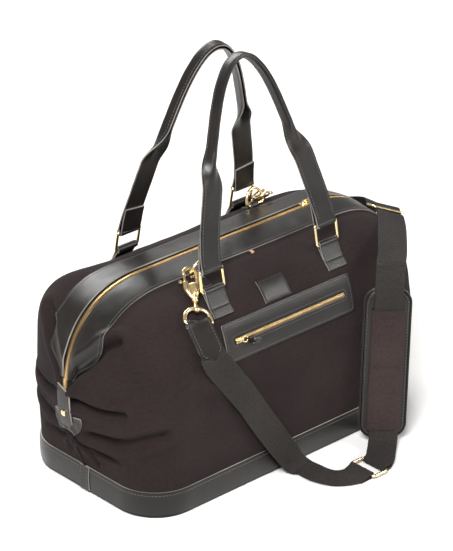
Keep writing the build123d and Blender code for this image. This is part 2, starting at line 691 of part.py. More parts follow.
# Middle line of the doubled webbing: place, direction of its width, half distance of layers.
DOUBLE_WEB = [((75, -208.6, 5.6), (0.03, -1, 0), 3.1), ((86, -202, 5.6), (0.4, -0.9, 0), 2.5),
              ((98, -192, 5.2), (0.6, -0.8, 0), 1.8),
              ((111, -181, 7.5), (0.72, -0.68, 0), LAYER),
              ((118, -175.4, 16.5), (0.78, -0.63, -0.04), LAYER)]
PAD_RUN = (20, 30, 100, 170, 232, 242)      # distances along the pad's line that stay straight
UPPER_WEB = [((165, -138, 258), (0.80, -0.6, -0.05), LAYER),
             ((195, -108, 266), (0.83, -0.55, -0.1), LAYER),
             ((224, -78, 266), (0.83, -0.52, -0.2), 2.6)]
# Distances along the slider and above its plane of the layers over and under it.
OVER_SLIDER, UNDER_SLIDER = [(-16, 4.6), (0, 5.2), (16, 4.6)], [(-9, -3.3), (-22, -3.9)]
END_WEB = [((272, 0, 244), (0.75, -0.4, -0.5)), ((276, 34, 226), (0.5, -0.2, -0.84)),
           ((266, 72, 211), (0.25, -0.1, -0.96)), ((244, 104, 202), (0.1, 0, -0.99)),
           ((216, 122, 197), (0, 0, -1)), ((192, 128, 201), (-0.1, 0.1, -0.9))]


def layers(stations):
    """The front and rear webbing of a doubled run, each a list of strap stations."""
    front, rear = [], []
    for k, (place, across, half) in enumerate(stations):
        ahead = vec(*stations[min(k + 1, len(stations) - 1)][0])
        behind = vec(*stations[max(k - 1, 0)][0])
        face = vec(*across).cross(ahead - behind).normalized()
        front.append((vec(*place) + face * half, across))
        rear.append((vec(*place) - face * half, across))
    return front, rear


def pad_line(distance):
    return PAD_FOOT + PAD_ALONG * distance


def webbing_adjust():
    """One length of webbing: sewn round the slider's middle bar, down through the lower
    ring, back up over the slider and round the end of the bag to the back hook."""
    straight = [(pad_line(d), PAD_ACROSS, LAYER) for d in PAD_RUN]
    front, rear = layers(DOUBLE_WEB + straight + UPPER_WEB)
    face = SLIDER_ACROSS.cross(SLIDER_ALONG).normalized()
    flat = (0.0, -1.0, 0.0)
    bar = []
    for turn in (90, 150, 210, 270):
        place = (LINK_RIGHT + WRAP * cos(radians(turn)), LINK_Y, LINK_Z + WRAP * sin(radians(turn)))
        bar.append((place, flat))
    sewn = []
    for turn in (60, 0, -60):
        arm = SLIDER_ALONG * cos(radians(turn)) + face * sin(radians(turn))
        sewn.append((SLIDER_AT + arm * WRAP, SLIDER_ACROSS))
    near = [(SLIDER_AT + SLIDER_ALONG * d + face * h, SLIDER_ACROSS) for d, h in UNDER_SLIDER]
    over = [(SLIDER_AT + SLIDER_ALONG * d + face * h, SLIDER_ACROSS) for d, h in OVER_SLIDER]
    back_bar, across = turned_point(EYE_BAR), turned_point(bar_direction(BACK_TURN))
    back = tab_stations(back_bar, across, BACK_DOWN, (56, 45, 30, 15))
    route = sewn + near + rear[::-1] + bar[::-1] + front + over + END_WEB + back
    return strap(route, WEB_WIDTH, WEB_THICK, 3)


def turned_point(point):
    return vec(-point.X, -point.Y, point.Z)


def rounded_bar_frame(length, height, corner, wire):
    return tube(RectangleRounded(length, height, corner).face().outer_wire(), wire, Plane.XY)


def strap_slider():
    """Three-bar slider on the doubled webbing."""
    place = plane_at(SLIDER_AT, (SLIDER_ACROSS.X, SLIDER_ACROSS.Y, SLIDER_ACROSS.Z), SLIDER_ALONG)
    frame = rounded_bar_frame(WEB_WIDTH + 6, 26, 4, LINK_WIRE)
    middle = Rot(0, 90, 0) * Cylinder(LINK_WIRE - 0.3, WEB_WIDTH + 6)
    return place.location * (frame + middle)


def link_ring():
    """Rectangular ring that joins the two lengths of webbing."""
    length, middle = LINK_RIGHT - LINK_LEFT, (LINK_LEFT + LINK_RIGHT) / 2
    frame = rounded_bar_frame(length, WEB_WIDTH + 6, 4, LINK_WIRE)
    return Pos(middle, LINK_Y, LINK_Z) * frame


def build_pad():
    """Shoulder pad: foam on a leather backing, with a canvas sleeve round the webbing."""
    normal = PAD_ACROSS.cross(PAD_ALONG)
    lay = Plane(origin=PAD_FOOT, x_dir=PAD_ACROSS, z_dir=normal).location
    middle = PAD_LENGTH / 2
    sleeve = Pos(0, 116, 0) * (Box(44, 172, 8.8) - Box(40.6, 174, 6.4))
    keep("pad_sleeve", lay * sleeve)

    def plate(width, length, corner, low, high):
        outline = RectangleRounded(width, length, corner)
        return Pos(0, middle, low) * extrude(outline, high - low)

    keep("pad_foam", lay * plate(PAD_WIDTH - 5, PAD_LENGTH - 5, 18, -10.2, -4.7))
    keep("pad_backing", lay * plate(PAD_WIDTH + 1, PAD_LENGTH + 1, 21, -12.2, -10.5))
    outline = RectangleRounded(PAD_WIDTH - 0.6, PAD_LENGTH - 0.6, 20.5).face().outer_wire()
    keep("pad_piping", lay * Pos(0, middle, -8.4) * tube(outline, 1.4, Plane.XY))


def build_strap():
    across = bar_direction(FRONT_TURN)
    keep("strap_tab_front", strap_tab(EYE_BAR, across, FRONT_DOWN))
    across = turned_point(bar_direction(BACK_TURN))
    keep("strap_tab_back", strap_tab(turned_point(EYE_BAR), across, BACK_DOWN))
    keep("webbing_front", webbing_front())
    keep("webbing_adjust", webbing_adjust())
    keep("strap_slider", strap_slider())
    keep("link_ring", link_ring())
    build_pad()


# ---- leather tabs over the two ends of the main zip ----------------------------------------
TAIL_LOW, TAIL_HIGH, TAIL_WIDTH, TAIL_LIFT, TAIL_THICK = 108.0, 166.0, 22.0, 3.2, 2.4
STUD_Z = 128.0
ANCHOR_Z, ANCHOR_OUTER, ANCHOR_INNER, ANCHOR_THICK = 124.0, 30.0, 14.0, 2.2


def ridge_at(z):
    """The share q of the zip line at a height on its upright run."""
    return min(spread(0.0, 0.35, 351), key=lambda q: abs(ridge_point(q).Z - z))


def off_ridge(q, lift):
    return ridge_point(q) + ridge_normal(q) * lift


def build_tails():
    qs = spread(ridge_at(TAIL_LOW), ridge_at(TAIL_HIGH), 7)
    outer = [off_ridge(q, TAIL_LIFT + TAIL_THICK) for q in qs]
    inner = [off_ridge(q, TAIL_LIFT) for q in reversed(qs)]
    half = vec(0, TAIL_WIDTH / 2, 0)
    outline = Wire.make_polygon([p - half for p in outer + inner], close=True)
    strip_body = Solid.extrude(Face(outline), half * 2)
    q = ridge_at(STUD_Z)
    stud_plane = Plane(origin=off_ridge(q, TAIL_LIFT + TAIL_THICK), z_dir=ridge_normal(q))
    cap = stud_plane.location * (Pos(0, 0, 0.6) * Cylinder(4.0, 1.2) + Pos(0, 0, 1.2) * Cylinder(2.8, 1.6))
    q = ridge_at(ANCHOR_Z - 10)
    base_plane = Plane(origin=off_ridge(q, 0.4), x_dir=vec(0, -1, 0), z_dir=ridge_normal(q))
    disc = Circle(ANCHOR_OUTER) - Circle(ANCHOR_INNER)
    lobe = disc & (Pos(0, -22) * Rectangle(2 * ANCHOR_OUTER, 44 - 8))
    anchor = base_plane.location * Pos(0, 10, 0) * extrude(lobe, ANCHOR_THICK)
    for end, flip in (("left", lambda s: s), ("right", mirrored_x)):
        keep("zip_tail_" + end, flip(strip_body))
        keep("tail_stud_" + end, flip(cap))
        keep("zip_anchors", flip(anchor))


def main():
    for build in (build_base, build_body, build_zip, build_zip_slider, build_pocket, build_patch,
                  build_handles, build_hooks, build_strap, build_tails):
        build()
    os.makedirs("parts", exist_ok=True)
    for name, pieces in nodes.items():
        shape = pieces[0] if len(pieces) == 1 else Compound(children=pieces)
        export_step(shape, f"parts/{name}.step")


if __name__ == "__main__":
    main()
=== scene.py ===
"""Looks of the weekender bag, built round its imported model.

Lengths are in millimetres until a mesh is made; MM turns them into metres.  The bag's
skin is addressed by u, from -1 at the left end to 1 at the right, by t, from 0 at the
leather band to 1 at the zip, and by side, -1 for the front and 1 for the back.
"""
from math import cos, pi, radians, sin

import bmesh
import bpy
import numpy as np
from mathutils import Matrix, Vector


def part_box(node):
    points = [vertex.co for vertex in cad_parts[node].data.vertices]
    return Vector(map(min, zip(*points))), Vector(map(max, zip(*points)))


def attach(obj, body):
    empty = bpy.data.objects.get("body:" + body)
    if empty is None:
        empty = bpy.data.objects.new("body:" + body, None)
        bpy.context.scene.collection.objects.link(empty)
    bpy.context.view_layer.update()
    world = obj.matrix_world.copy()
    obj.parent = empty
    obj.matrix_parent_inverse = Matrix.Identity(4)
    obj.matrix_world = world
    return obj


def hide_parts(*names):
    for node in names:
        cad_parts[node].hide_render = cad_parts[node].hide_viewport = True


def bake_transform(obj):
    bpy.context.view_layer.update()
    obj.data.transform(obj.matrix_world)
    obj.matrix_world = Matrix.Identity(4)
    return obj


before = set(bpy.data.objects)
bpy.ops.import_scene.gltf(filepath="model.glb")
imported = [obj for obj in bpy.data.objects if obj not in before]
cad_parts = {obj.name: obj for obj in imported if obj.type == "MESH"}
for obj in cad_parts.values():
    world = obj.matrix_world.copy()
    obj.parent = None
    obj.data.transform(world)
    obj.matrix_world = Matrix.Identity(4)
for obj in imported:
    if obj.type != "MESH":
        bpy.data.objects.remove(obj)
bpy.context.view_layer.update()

MM = 0.001


def low(node):
    return np.array(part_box(node)[0]) / MM


def high(node):
    return np.array(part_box(node)[1]) / MM


# ---- sizes ---------------------------------------------------------------------------
# The base band, the radius of its corners, and the height at which the canvas starts in it.
BAND_LENGTH, BAND_DEPTH = (high("base_band") - low("base_band"))[:2]
CORNER, BAND_TOP = 60.0, 36.0
# The height of the zip's line, under its chain, and half the length of its level run.
CHAIN_RISE = 1.2
ZIP_Z, ZIP_LEVEL = high("zip_chain_front")[2] - CHAIN_RISE, 150.0
# Where the ends of the bag stand out furthest.
BULGE_X, BULGE_Z = 275.0, 150.0
# How the side curves leave the band and reach the zip, as shares of the distance between.
RISE, REACH, BELLY, CROWN, FOOT_EASE = 0.80, 0.40, 0.03, 0.02, 0.9
# Shares of a half of the bag from its foot to the bulge, and from there to the level run.
FOOT_SPAN, SHOULDER_SPAN = 0.2, 0.4
# Facings: full width, width at the foot, and the shares where the foot ends and the full width starts.
FACING_WIDTH, FACING_FOOT, ZIP_FOOT, ZIP_TAPER = 43.0, 12.0, 0.235, 0.30
# Handle rings: the lower bar, the lean, the distance between bars, and the place along the bag.
RING_Y, RING_Z, RING_LEAN, RING_PITCH, RING_X = 83.0, 271.0, radians(11), 27.0, 100.0
HANDLE_WIDTH, HANDLE_THICK = 32.0, 3.0
WEB_WIDTH, WEB_THICK = 38.0, 1.8


# ---- small vector helpers --------------------------------------------------------------
def unit(v):
    v = np.asarray(v, float)
    return v / np.maximum(np.linalg.norm(v, axis=-1, keepdims=True), 1e-9)


def arrays(*values):
    """The values as arrays of one shape."""
    return np.broadcast_arrays(*(np.asarray(value, float) for value in values))


def smooth(x):
    x = np.clip(x, 0.0, 1.0)
    return x * x * (3 - 2 * x)


def bezier(points, t):
    s, t = (1 - t)[..., None], t[..., None]
    a, b, c, d = points
    return a * s**3 + 3 * b * s * s * t + 3 * c * s * t * t + d * t**3


def catmull(points, per_span):
    """Smooth points through the given ones, any number of columns."""
    p = np.asarray(points, float)
    p = np.vstack([2 * p[0] - p[1], p, 2 * p[-1] - p[-2]])
    t = np.linspace(0, 1, per_span, endpoint=False)[:, None]
    run = [0.5 * (2 * b + (c - a) * t + (2 * a - 5 * b + 4 * c - d) * t**2 + (3 * b - a - 3 * c + d) * t**3)
           for a, b, c, d in zip(p, p[1:], p[2:], p[3:])]
    return np.vstack(run + [p[-2:-1]])


def turned(points):
    """The same points at the opposite corner of the bag."""
    return np.asarray(points, float) * (-1, -1, 1)


PLACES = (("front", lambda points: points), ("back", turned))


def u_of(x):
    """The u of a place on the level run of the zip."""
    return x / ZIP_LEVEL * (1 - FOOT_SPAN - SHOULDER_SPAN)


# ---- the bag's skin ----------------------------------------------------------------------
FOOT_CURVE = np.array([(-245, 0, 36), (-258, 0, 70), (-BULGE_X, 0, 105), (-BULGE_X, 0, BULGE_Z)], float)
SHOULDER_CURVE = np.array([(-BULGE_X, 0, BULGE_Z), (-BULGE_X, 0, 250), (-215, 0, ZIP_Z),
                           (-ZIP_LEVEL, 0, ZIP_Z)], float)


def ridge(q):
    foot = bezier(FOOT_CURVE, np.clip(q / FOOT_SPAN, 0, 1))
    shoulder = bezier(SHOULDER_CURVE, np.clip((q - FOOT_SPAN) / SHOULDER_SPAN, 0, 1))
    share = np.clip((1 - q) / (1 - FOOT_SPAN - SHOULDER_SPAN), 0, 1)
    level = np.stack([-ZIP_LEVEL * share, 0 * q, ZIP_Z + 0 * q], -1)
    low_part = np.where((q < FOOT_SPAN)[..., None], foot, shoulder)
    return np.where((q < FOOT_SPAN + SHOULDER_SPAN)[..., None], low_part, level)


def ridge_normal(q):
    run = unit(ridge(np.minimum(q + 0.004, 1)) - ridge(np.maximum(q - 0.004, 0)))
    return np.stack([-run[..., 2], 0 * q, run[..., 0]], -1)


def side_curves(u):
    """Control points of the side curves of the front, for the left and the right half."""
    q = 1 - np.abs(u)
    side, arc = BAND_DEPTH / 2 - CORNER, CORNER * pi / 2
    run = q * (side + arc + BAND_LENGTH / 2 - CORNER)
    turn = np.clip((run - side) / CORNER, 0, pi / 2)
    x = -BAND_LENGTH / 2 + CORNER * (1 - np.cos(turn)) + np.clip(run - side - arc, 0, None)
    y = -np.minimum(run, side) - CORNER * np.sin(turn)
    foot, top = np.stack([x, y, BAND_TOP + 0 * x], -1), ridge(q)
    span = np.hypot(top[..., 1] - foot[..., 1], top[..., 2] - foot[..., 2])[..., None]
    rise = span * np.stack([-BELLY * np.cos(turn), -BELLY * np.sin(turn), RISE + 0 * x], -1)
    drop = span * (np.array([0, -REACH, 0]) - ridge_normal(q) * CROWN)
    curves = np.stack([foot, foot + FOOT_EASE * rise, top + drop, top])
    curves[..., 0] *= np.where(u <= 0, 1, -1)
    return curves


def raw_skin(u, t):
    return bezier(side_curves(u), t)


def skin(u, t, side, lift=0.0):
    """Points of the bag's surface, lifted off it along its normal."""
    u, t, lift = arrays(u, t, lift)
    here = raw_skin(u, t)
    step = 0.003
    across = raw_skin(np.minimum(u + step, 1), t) - raw_skin(np.maximum(u - step, -1), t)
    along = raw_skin(u, np.minimum(t + step, 1)) - raw_skin(u, np.maximum(t - step, 0))
    here = here + unit(np.cross(across, along)) * lift[..., None]
    return here * (1, -side, 1)


def from_zip(u, distance):
    """The t that lies a distance from the zip, measured along the skin."""
    u, distance = arrays(u, distance)
    ts = np.linspace(1, 0, 161)
    out = np.empty(u.shape)
    for k in np.ndindex(u.shape):
        curve = raw_skin(np.full(ts.shape, u[k]), ts)
        walked = np.concatenate([[0], np.cumsum(np.linalg.norm(np.diff(curve, axis=0), axis=1))])
        out[k] = np.interp(distance[k], walked, ts)
    return out


def facing_width(u):
    share = smooth((1 - np.abs(u) - ZIP_FOOT) / (ZIP_TAPER - ZIP_FOOT))
    return FACING_FOOT + (FACING_WIDTH - FACING_FOOT) * share


# ---- materials ---------------------------------------------------------------------------
def new_material(name, color, roughness, metallic=0.0, **sockets):
    material = bpy.data.materials.new(name)
    material.use_nodes = True
    shader = material.node_tree.nodes["Principled BSDF"]
    shader.inputs["Base Color"].default_value = (*color, 1)
    shader.inputs["Roughness"].default_value = roughness
    shader.inputs["Metallic"].default_value = metallic
    for socket, value in sockets.items():
        shader.inputs[socket.replace("_", " ")].default_value = value
    return material, material.node_tree, shader


def add_node(tree, kind, links=(), **values):
    """A node with its named values and links, each link an input name and an output socket."""
    node = tree.nodes.new(kind)
    for key, value in values.items():
        name = key.replace("_", " ")
        if name in node.inputs:
            node.inputs[name].default_value = value
        else:
            setattr(node, key, value)
    for name, socket in dict(links).items():
        tree.links.new(socket, node.inputs[name])
    return node


def color_between(tree, factor, dark, light, start=0.3, end=0.7):
    ramp = add_node(tree, "ShaderNodeValToRGB", {"Fac": factor})
    ramp.color_ramp.elements[0].position, ramp.color_ramp.elements[1].position = start, end
    ramp.color_ramp.elements[0].color, ramp.color_ramp.elements[1].color = (*dark, 1), (*light, 1)
    return ramp.outputs["Color"]


def math_node(tree, operation, a, b):
    node = tree.nodes.new("ShaderNodeMath")
    node.operation = operation
    for k, value in enumerate((a, b)):
        if isinstance(value, (int, float)):
            node.inputs[k].default_value = value
        else:
            tree.links.new(value, node.inputs[k])
    return node.outputs[0]


def bump(tree, shader, height, distance, strength=1.0, normal=None):
    node = add_node(tree, "ShaderNodeBump", {"Height": height}, Strength=strength, Distance=distance)
    if normal:
        tree.links.new(normal, node.inputs["Normal"])
    tree.links.new(node.outputs["Normal"], shader.inputs["Normal"])
    return node.outputs["Normal"]


WAVE_SCALE = 2 * pi / 20.0  # the wave texture's scale for one wave in a unit


def woven(name, dark, light, threads_u, threads_v, depth, roughness=0.85):
    """Cloth with two crossing sets of threads, per metre of the piece's own UV map."""
    material, tree, shader = new_material(name, light, roughness, Sheen_Weight=0.02,
                                          Sheen_Roughness=0.5, Specular_IOR_Level=0.12)
    uv = tree.nodes.new("ShaderNodeUVMap").outputs["UV"]
    threads = []
    for direction, count in (("X", threads_u), ("Y", threads_v)):
        wave = add_node(tree, "ShaderNodeTexWave", {"Vector": uv}, Scale=count * WAVE_SCALE, Distortion=1.2,
                        Detail=2.0, Detail_Scale=0.6, wave_type="BANDS", bands_direction=direction)
        threads.append(wave.outputs["Fac"])
    weave = math_node(tree, "MULTIPLY", threads[0], threads[1])
    coords = tree.nodes.new("ShaderNodeTexCoord").outputs["Object"]
    slubs = add_node(tree, "ShaderNodeTexNoise", {"Vector": uv}, Scale=260.0, Detail=3.0)
    patches = add_node(tree, "ShaderNodeTexNoise", {"Vector": coords}, Scale=9.0, Detail=4.0)
    mixed = math_node(tree, "ADD", math_node(tree, "MULTIPLY", weave, 0.45),
                      math_node(tree, "MULTIPLY", slubs.outputs["Fac"], 0.3))
    mixed = math_node(tree, "ADD", mixed, math_node(tree, "MULTIPLY", patches.outputs["Fac"], 0.4))
    tree.links.new(color_between(tree, mixed, dark, light, 0.3, 0.85), shader.inputs["Base Color"])
    relief = math_node(tree, "ADD", weave, math_node(tree, "MULTIPLY", slubs.outputs["Fac"], 0.5))
    bump(tree, shader, relief, depth, 0.7)
    return material


def leather(name, dark, light, roughness, grain=700.0, depth=0.0004, coat=0.06):
    """Leather with a fine grain, soft creases and a slightly uneven finish."""
    material, tree, shader = new_material(name, light, roughness, Coat_Weight=coat,
                                          Coat_Roughness=0.3, Specular_IOR_Level=0.36)
    coords = tree.nodes.new("ShaderNodeTexCoord").outputs["Object"]
    cells = add_node(tree, "ShaderNodeTexVoronoi", {"Vector": coords}, Scale=grain, Randomness=1.0)
    cells.feature = "DISTANCE_TO_EDGE"
    creases = add_node(tree, "ShaderNodeTexNoise", {"Vector": coords}, Scale=55.0, Detail=5.0,
                       Distortion=0.8)
    cloud = add_node(tree, "ShaderNodeTexNoise", {"Vector": coords}, Scale=14.0, Detail=4.0)
    tree.links.new(color_between(tree, cloud.outputs["Fac"], dark, light, 0.35, 0.7),
                   shader.inputs["Base Color"])
    rough = add_node(tree, "ShaderNodeMapRange", {"Value": creases.outputs["Fac"]})
    rough.inputs["To Min"].default_value = roughness - 0.1
    rough.inputs["To Max"].default_value = roughness + 0.12
    tree.links.new(rough.outputs["Result"], shader.inputs["Roughness"])
    relief = math_node(tree, "ADD", math_node(tree, "MINIMUM", cells.outputs["Distance"], 0.35),
                       math_node(tree, "MULTIPLY", creases.outputs["Fac"], 1.2))
    bump(tree, shader, relief, depth, 0.55)
    return material


def brass(name, color, roughness, scratches=0.5):
    """Polished brass with faint brushing and a slightly darker tarnish."""
    material, tree, shader = new_material(name, color, roughness, 1.0)
    coords = tree.nodes.new("ShaderNodeTexCoord").outputs["Object"]
    cloud = add_node(tree, "ShaderNodeTexNoise", {"Vector": coords}, Scale=90.0, Detail=5.0)
    tarnish = tuple(c * 0.72 for c in color)
    tree.links.new(color_between(tree, cloud.outputs["Fac"], tarnish, color, 0.25, 0.55),
                   shader.inputs["Base Color"])
    fine = add_node(tree, "ShaderNodeTexNoise", {"Vector": coords}, Scale=900.0, Detail=2.0)
    bump(tree, shader, fine.outputs["Fac"], 0.00004, scratches)
    return material


def thread(name, color):
    material, tree, shader = new_material(name, color, 0.6, Sheen_Weight=0.2)
    coords = tree.nodes.new("ShaderNodeTexCoord").outputs["Object"]
    twist = add_node(tree, "ShaderNodeTexWave", {"Vector": coords}, Scale=900.0, Distortion=1.0)
    twist.bands_direction = "DIAGONAL"
    bump(tree, shader, twist.outputs["Fac"], 0.0002)
    tree.links.new(color_between(tree, twist.outputs["Fac"], tuple(c * 0.6 for c in color), color),
                   shader.inputs["Base Color"])
    return material


CANVAS = woven("canvas", (0.0105, 0.0066, 0.0067), (0.040, 0.0265, 0.0262), 1200, 1200, 0.0004, 0.92)
# The pad sleeve's canvas is a lighter copy of the bag's canvas: its extra lightness is painted sheen.
SHEEN_PAINTED_SLEEVE = woven("sleeve_canvas_painted_sheen", (0.022, 0.0145, 0.0145), (0.072, 0.050, 0.049), 1200, 1200, 0.0004, 0.9)
LINING = woven("lining", (0.10, 0.075, 0.055), (0.19, 0.15, 0.115), 1500, 1500, 0.0002)
TAPE = woven("zip_tape", (0.008, 0.006, 0.006), (0.022, 0.018, 0.018), 1600, 1100, 0.0002)
WEBBING = woven("webbing", (0.012, 0.0105, 0.0100), (0.062, 0.055, 0.050), 900, 800, 0.0005, 0.75)
LEATHER = leather("black_leather", (0.0050, 0.0042, 0.0037), (0.0150, 0.0125, 0.0110), 0.33,
                  coat=0.12)
SOFT_LEATHER = leather("inner_leather", (0.006, 0.006, 0.006), (0.013, 0.012, 0.012), 0.62,
                       500.0, 0.0008, 0.0)
EDGE = leather("leather_edge", (0.13, 0.12, 0.11), (0.34, 0.32, 0.29), 0.75, 1500.0, 0.0003, 0.0)
DARK_EDGE = leather("dark_edge", (0.02, 0.018, 0.017), (0.07, 0.062, 0.056), 0.7, 1500.0, 0.0003, 0.0)
BRASS = brass("brass", (1.0, 0.80, 0.46), 0.24)
ZIP_BRASS = brass("zip_brass", (1.0, 0.76, 0.40), 0.34)
THREAD = thread("thread", (0.10, 0.092, 0.085))
DARK_THREAD = thread("dark_thread", (0.012, 0.011, 0.011))
TAG = woven("tag", (0.40, 0.16, 0.08), (0.62, 0.50, 0.34), 300, 2500, 0.0002)
FOAM = new_material("foam", (0.03, 0.03, 0.03), 0.9)[0]


# ---- mesh builders ------------------------------------------------------------------------
def make_object(name, verts, faces, materials, slots=None, uvs=None):
    mesh = bpy.data.meshes.new(name)
    mesh.from_pydata((np.asarray(verts, float) * MM).tolist(), [], [list(map(int, f)) for f in faces])
    for material in materials:
        mesh.materials.append(material)
    if slots is not None:
        mesh.polygons.foreach_set("material_index", np.asarray(slots, np.int32))
    if uvs is not None:
        layer = mesh.uv_layers.new(name="UVMap")
        loops = np.empty(len(mesh.loops), np.int32)
        mesh.loops.foreach_get("vertex_index", loops)
        layer.data.foreach_set("uv", (np.asarray(uvs, float)[loops] * MM).ravel().astype(np.float32))
    mesh.polygons.foreach_set("use_smooth", [True] * len(mesh.polygons))
    mesh.validate()
    obj = bpy.data.objects.new(name, mesh)
    bpy.context.collection.objects.link(obj)
    return obj


def recalculate(obj):
    """Makes the faces point outward."""
    work = bmesh.new()
    work.from_mesh(obj.data)
    bmesh.ops.recalc_face_normals(work, faces=work.faces)
    work.to_mesh(obj.data)
    work.free()
    return obj


def sharpen(obj, angle=40.0):
    """Keeps hard edges hard under smooth shading."""
    modifier = obj.modifiers.new("edges", "EDGE_SPLIT")
    modifier.split_angle = radians(angle)
    return obj


def lengths_along(points, axis):
    steps = np.linalg.norm(np.diff(points, axis=axis), axis=-1)
    zero = np.zeros_like(np.take(steps, [0], axis=axis))
    return np.concatenate([zero, np.cumsum(steps, axis=axis)], axis=axis)


def at_distance(distance, along, rows):
    """The rows of a path's values at a distance along it, or at many."""
    return np.stack([np.interp(distance, along, rows[:, k]) for k in range(3)], -1)


def turning(path, widths):
    """The ways along, across and out of the face of a strap; widths lie about across it."""
    run = unit(np.gradient(path, axis=0))
    across = unit(widths - run * np.sum(widths * run, axis=1, keepdims=True))
    return run, across, np.cross(run, across)


def slab(name, top, bottom, materials, closed=False):
    """A thin piece between two grids of points, with materials for its faces and its edges.

    Closed, its last row of points joins its first.
    """
    n, m = top.shape[:2]
    grid = np.arange(n * m).reshape(n, m)
    under = grid + n * m
    faces, slots = [], []

    def quad(slot, *corners):
        faces.append(corners)
        slots.append(slot)

    for i in range(n if closed else n - 1):
        k = (i + 1) % n
        for j in range(m - 1):
            quad(0, grid[i, j], grid[k, j], grid[k, j + 1], grid[i, j + 1])
            quad(0, under[i, j], under[i, j + 1], under[k, j + 1], under[k, j])
        for j in (0, m - 1):
            quad(1, grid[i, j], grid[k, j], under[k, j], under[i, j])
    if not closed:
        for i in (0, n - 1):
            for j in range(m - 1):
                quad(1, grid[i, j], grid[i, j + 1], under[i, j + 1], under[i, j])
    verts = np.vstack([top.reshape(-1, 3), bottom.reshape(-1, 3)])
    uvs = np.stack([lengths_along(top, 0).ravel(), lengths_along(top, 1).ravel()], -1)
    obj = make_object(name, verts, faces, materials, slots, np.tile(uvs, (2, 1)))
    return sharpen(recalculate(obj))


def stations(rows, per_span):
    """Splits strap stations, each a place and a width direction, into smooth path and widths."""
    data = catmull([[*place, *across] for place, across in rows], per_span)
    return data[:, :3], data[:, 3:6]


def ring_faces(start, rings, sides, closed=False):
    """Faces over rings of points, and over the two ends unless the last ring joins the first."""
    faces = []
    for i in range(rings if closed else rings - 1):
        a, b = start + i * sides, start + (i + 1) % rings * sides
        faces += [(a + j, a + (j + 1) % sides, b + (j + 1) % sides, b + j) for j in range(sides)]
    if not closed:
        last = start + (rings - 1) * sides
        faces += [tuple(range(start, start + sides)), tuple(range(last + sides - 1, last - 1, -1))]
    return faces


def tube(name, path, radius, material, closed=False, sides=14, squash=1.0):
    """A round bar along a path; radius may vary from point to point."""
    path = np.asarray(path, float)
    n = len(path)
    run = unit(np.roll(path, -1, 0) - np.roll(path, 1, 0) if closed else np.gradient(path, axis=0))
    normals = [unit(np.cross(run[0], (0.123, 0.456, 0.789)))]  # any way that isn't along the path
    for way in run[1:]:
        normals.append(unit(normals[-1] - way * np.dot(normals[-1], way)))
    normals = np.array(normals)[:, None]
    others = np.cross(run, normals[:, 0])[:, None]
    angles = np.linspace(0, 2 * pi, sides, endpoint=False)[:, None]
    ring = normals * np.cos(angles) + others * np.sin(angles) * squash
    verts = (path[:, None] + ring * np.broadcast_to(radius, (n,))[:, None, None]).reshape(-1, 3)
    return recalculate(make_object(name, verts, ring_faces(0, n, sides, closed), [material]))


def join(name, objects):
    """Makes one object of several."""
    bpy.ops.object.select_all(action="DESELECT")
    for obj in objects:
        obj.select_set(True)
    bpy.context.view_layer.objects.active = objects[0]
    bpy.ops.object.join()
    return rename(objects[0], name)


# Places along a stitch, and its thickness there.
STITCH = ((0.0, 0.35), (0.15, 0.9), (0.5, 1.0), (0.85, 0.9), (1.0, 0.35))


def stitches(name, path, normals, pitch=4.2, length=3.0, radius=0.42, material=THREAD, sink=0.1):
    """A row of short thread stitches lying on a surface along a path."""
    path, normals = np.asarray(path, float), unit(normals)
    along = lengths_along(path, 0)
    count, sides = max(int(along[-1] / pitch), 1), 6
    angles = np.linspace(0, 2 * pi, sides, endpoint=False)
    verts, faces = [], []
    for middle in (np.arange(count) + 0.5) * along[-1] / count:
        first, last = at_distance(np.array([middle - length / 2, middle + length / 2]), along, path)
        up = unit(at_distance(middle, along, normals))
        side = np.cross(unit(last - first), up)
        faces += ring_faces(len(verts), len(STITCH), sides)
        for share, size in STITCH:
            centre = first + (last - first) * share + up * (radius * (size - 0.4) - sink)
            verts += [centre + (side * cos(a) + up * sin(a)) * radius * size for a in angles]
    return recalculate(make_object(name, verts, faces, [material]))


def rename(obj, name):
    obj.name = name
    obj.data.name = name
    return obj


def settle(obj, body, *nodes, slot=None):
    """Puts a piece on its body, names it after the first CAD node it stands for, and hides those nodes."""
    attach(obj, body)
    if nodes:
        rename(obj, nodes[0] + "_piece")
        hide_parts(*nodes)
    return obj


# ---- creases of the soft body ----------------------------------------------------------------
# Each crease of the front left quarter: points in millimetres, depth, half width, swell beside it.
CREASES = [
    ([(-273, -3, 172), (-272, -8, 181), (-268, -21, 196), (-262, -34, 209), (-256, -42, 218),
      (-251, -46, 226), (-241, -60, 236)], 17.0, 7.0, 5.0),
    ([(-274, -3, 145), (-272, -24, 146), (-267, -41, 142), (-261, -59, 141), (-250, -80, 144)],
     10.0, 6.5, 4.0),
    ([(-258, -30, 101), (-253, -58, 98), (-248, -81, 103), (-234, -106, 114), (-215, -118, 118)],
     9.0, 7.5, 4.2),
    ([(-266, -3, 92), (-260, -17, 83), (-251, -36, 73), (-247, -72, 67)], 5.0, 5.0, 2.4),
    ([(-267, -6, 97), (-254, -20, 72), (-245, -28, 47)], 4.0, 4.5, 2.0),
    ([(-150, -128, 150), (-110, -132, 132), (-60, -134, 126)], 1.6, 14.0, 0.8),
    ([(-190, -122, 70), (-130, -131, 84), (-70, -132, 78)], 1.4, 12.0, 0.7),
    ([(20, -134, 120), (80, -134, 98), (150, -129, 96)], 1.6, 13.0, 0.8),
]
# Full places of the soft body: middle, how far they reach, how far they stand out.
SWELLS = [((-212, 78, 238), 44.0, 15.0), ((214, 70, 232), 40.0, 5.0), ((212, -74, 236), 40.0, 4.0)]
# How much of the creases each quarter has, by end and side, and how much of them leather takes, by side.
QUARTER_SHARES = {(-1, -1): 1.0, (1, -1): 0.62, (-1, 1): 0.7, (1, 1): 0.55}
FIRM_SHARE = {-1: 0.45, 1: 0.25}
# The smooth unevenness of the whole body: seed, size of its waves, height.
WAVES = ((3, 95.0, 0.9), (5, 34.0, 0.25))
LINING_GAP, LINING_DEPTH = 2.5, 1.25


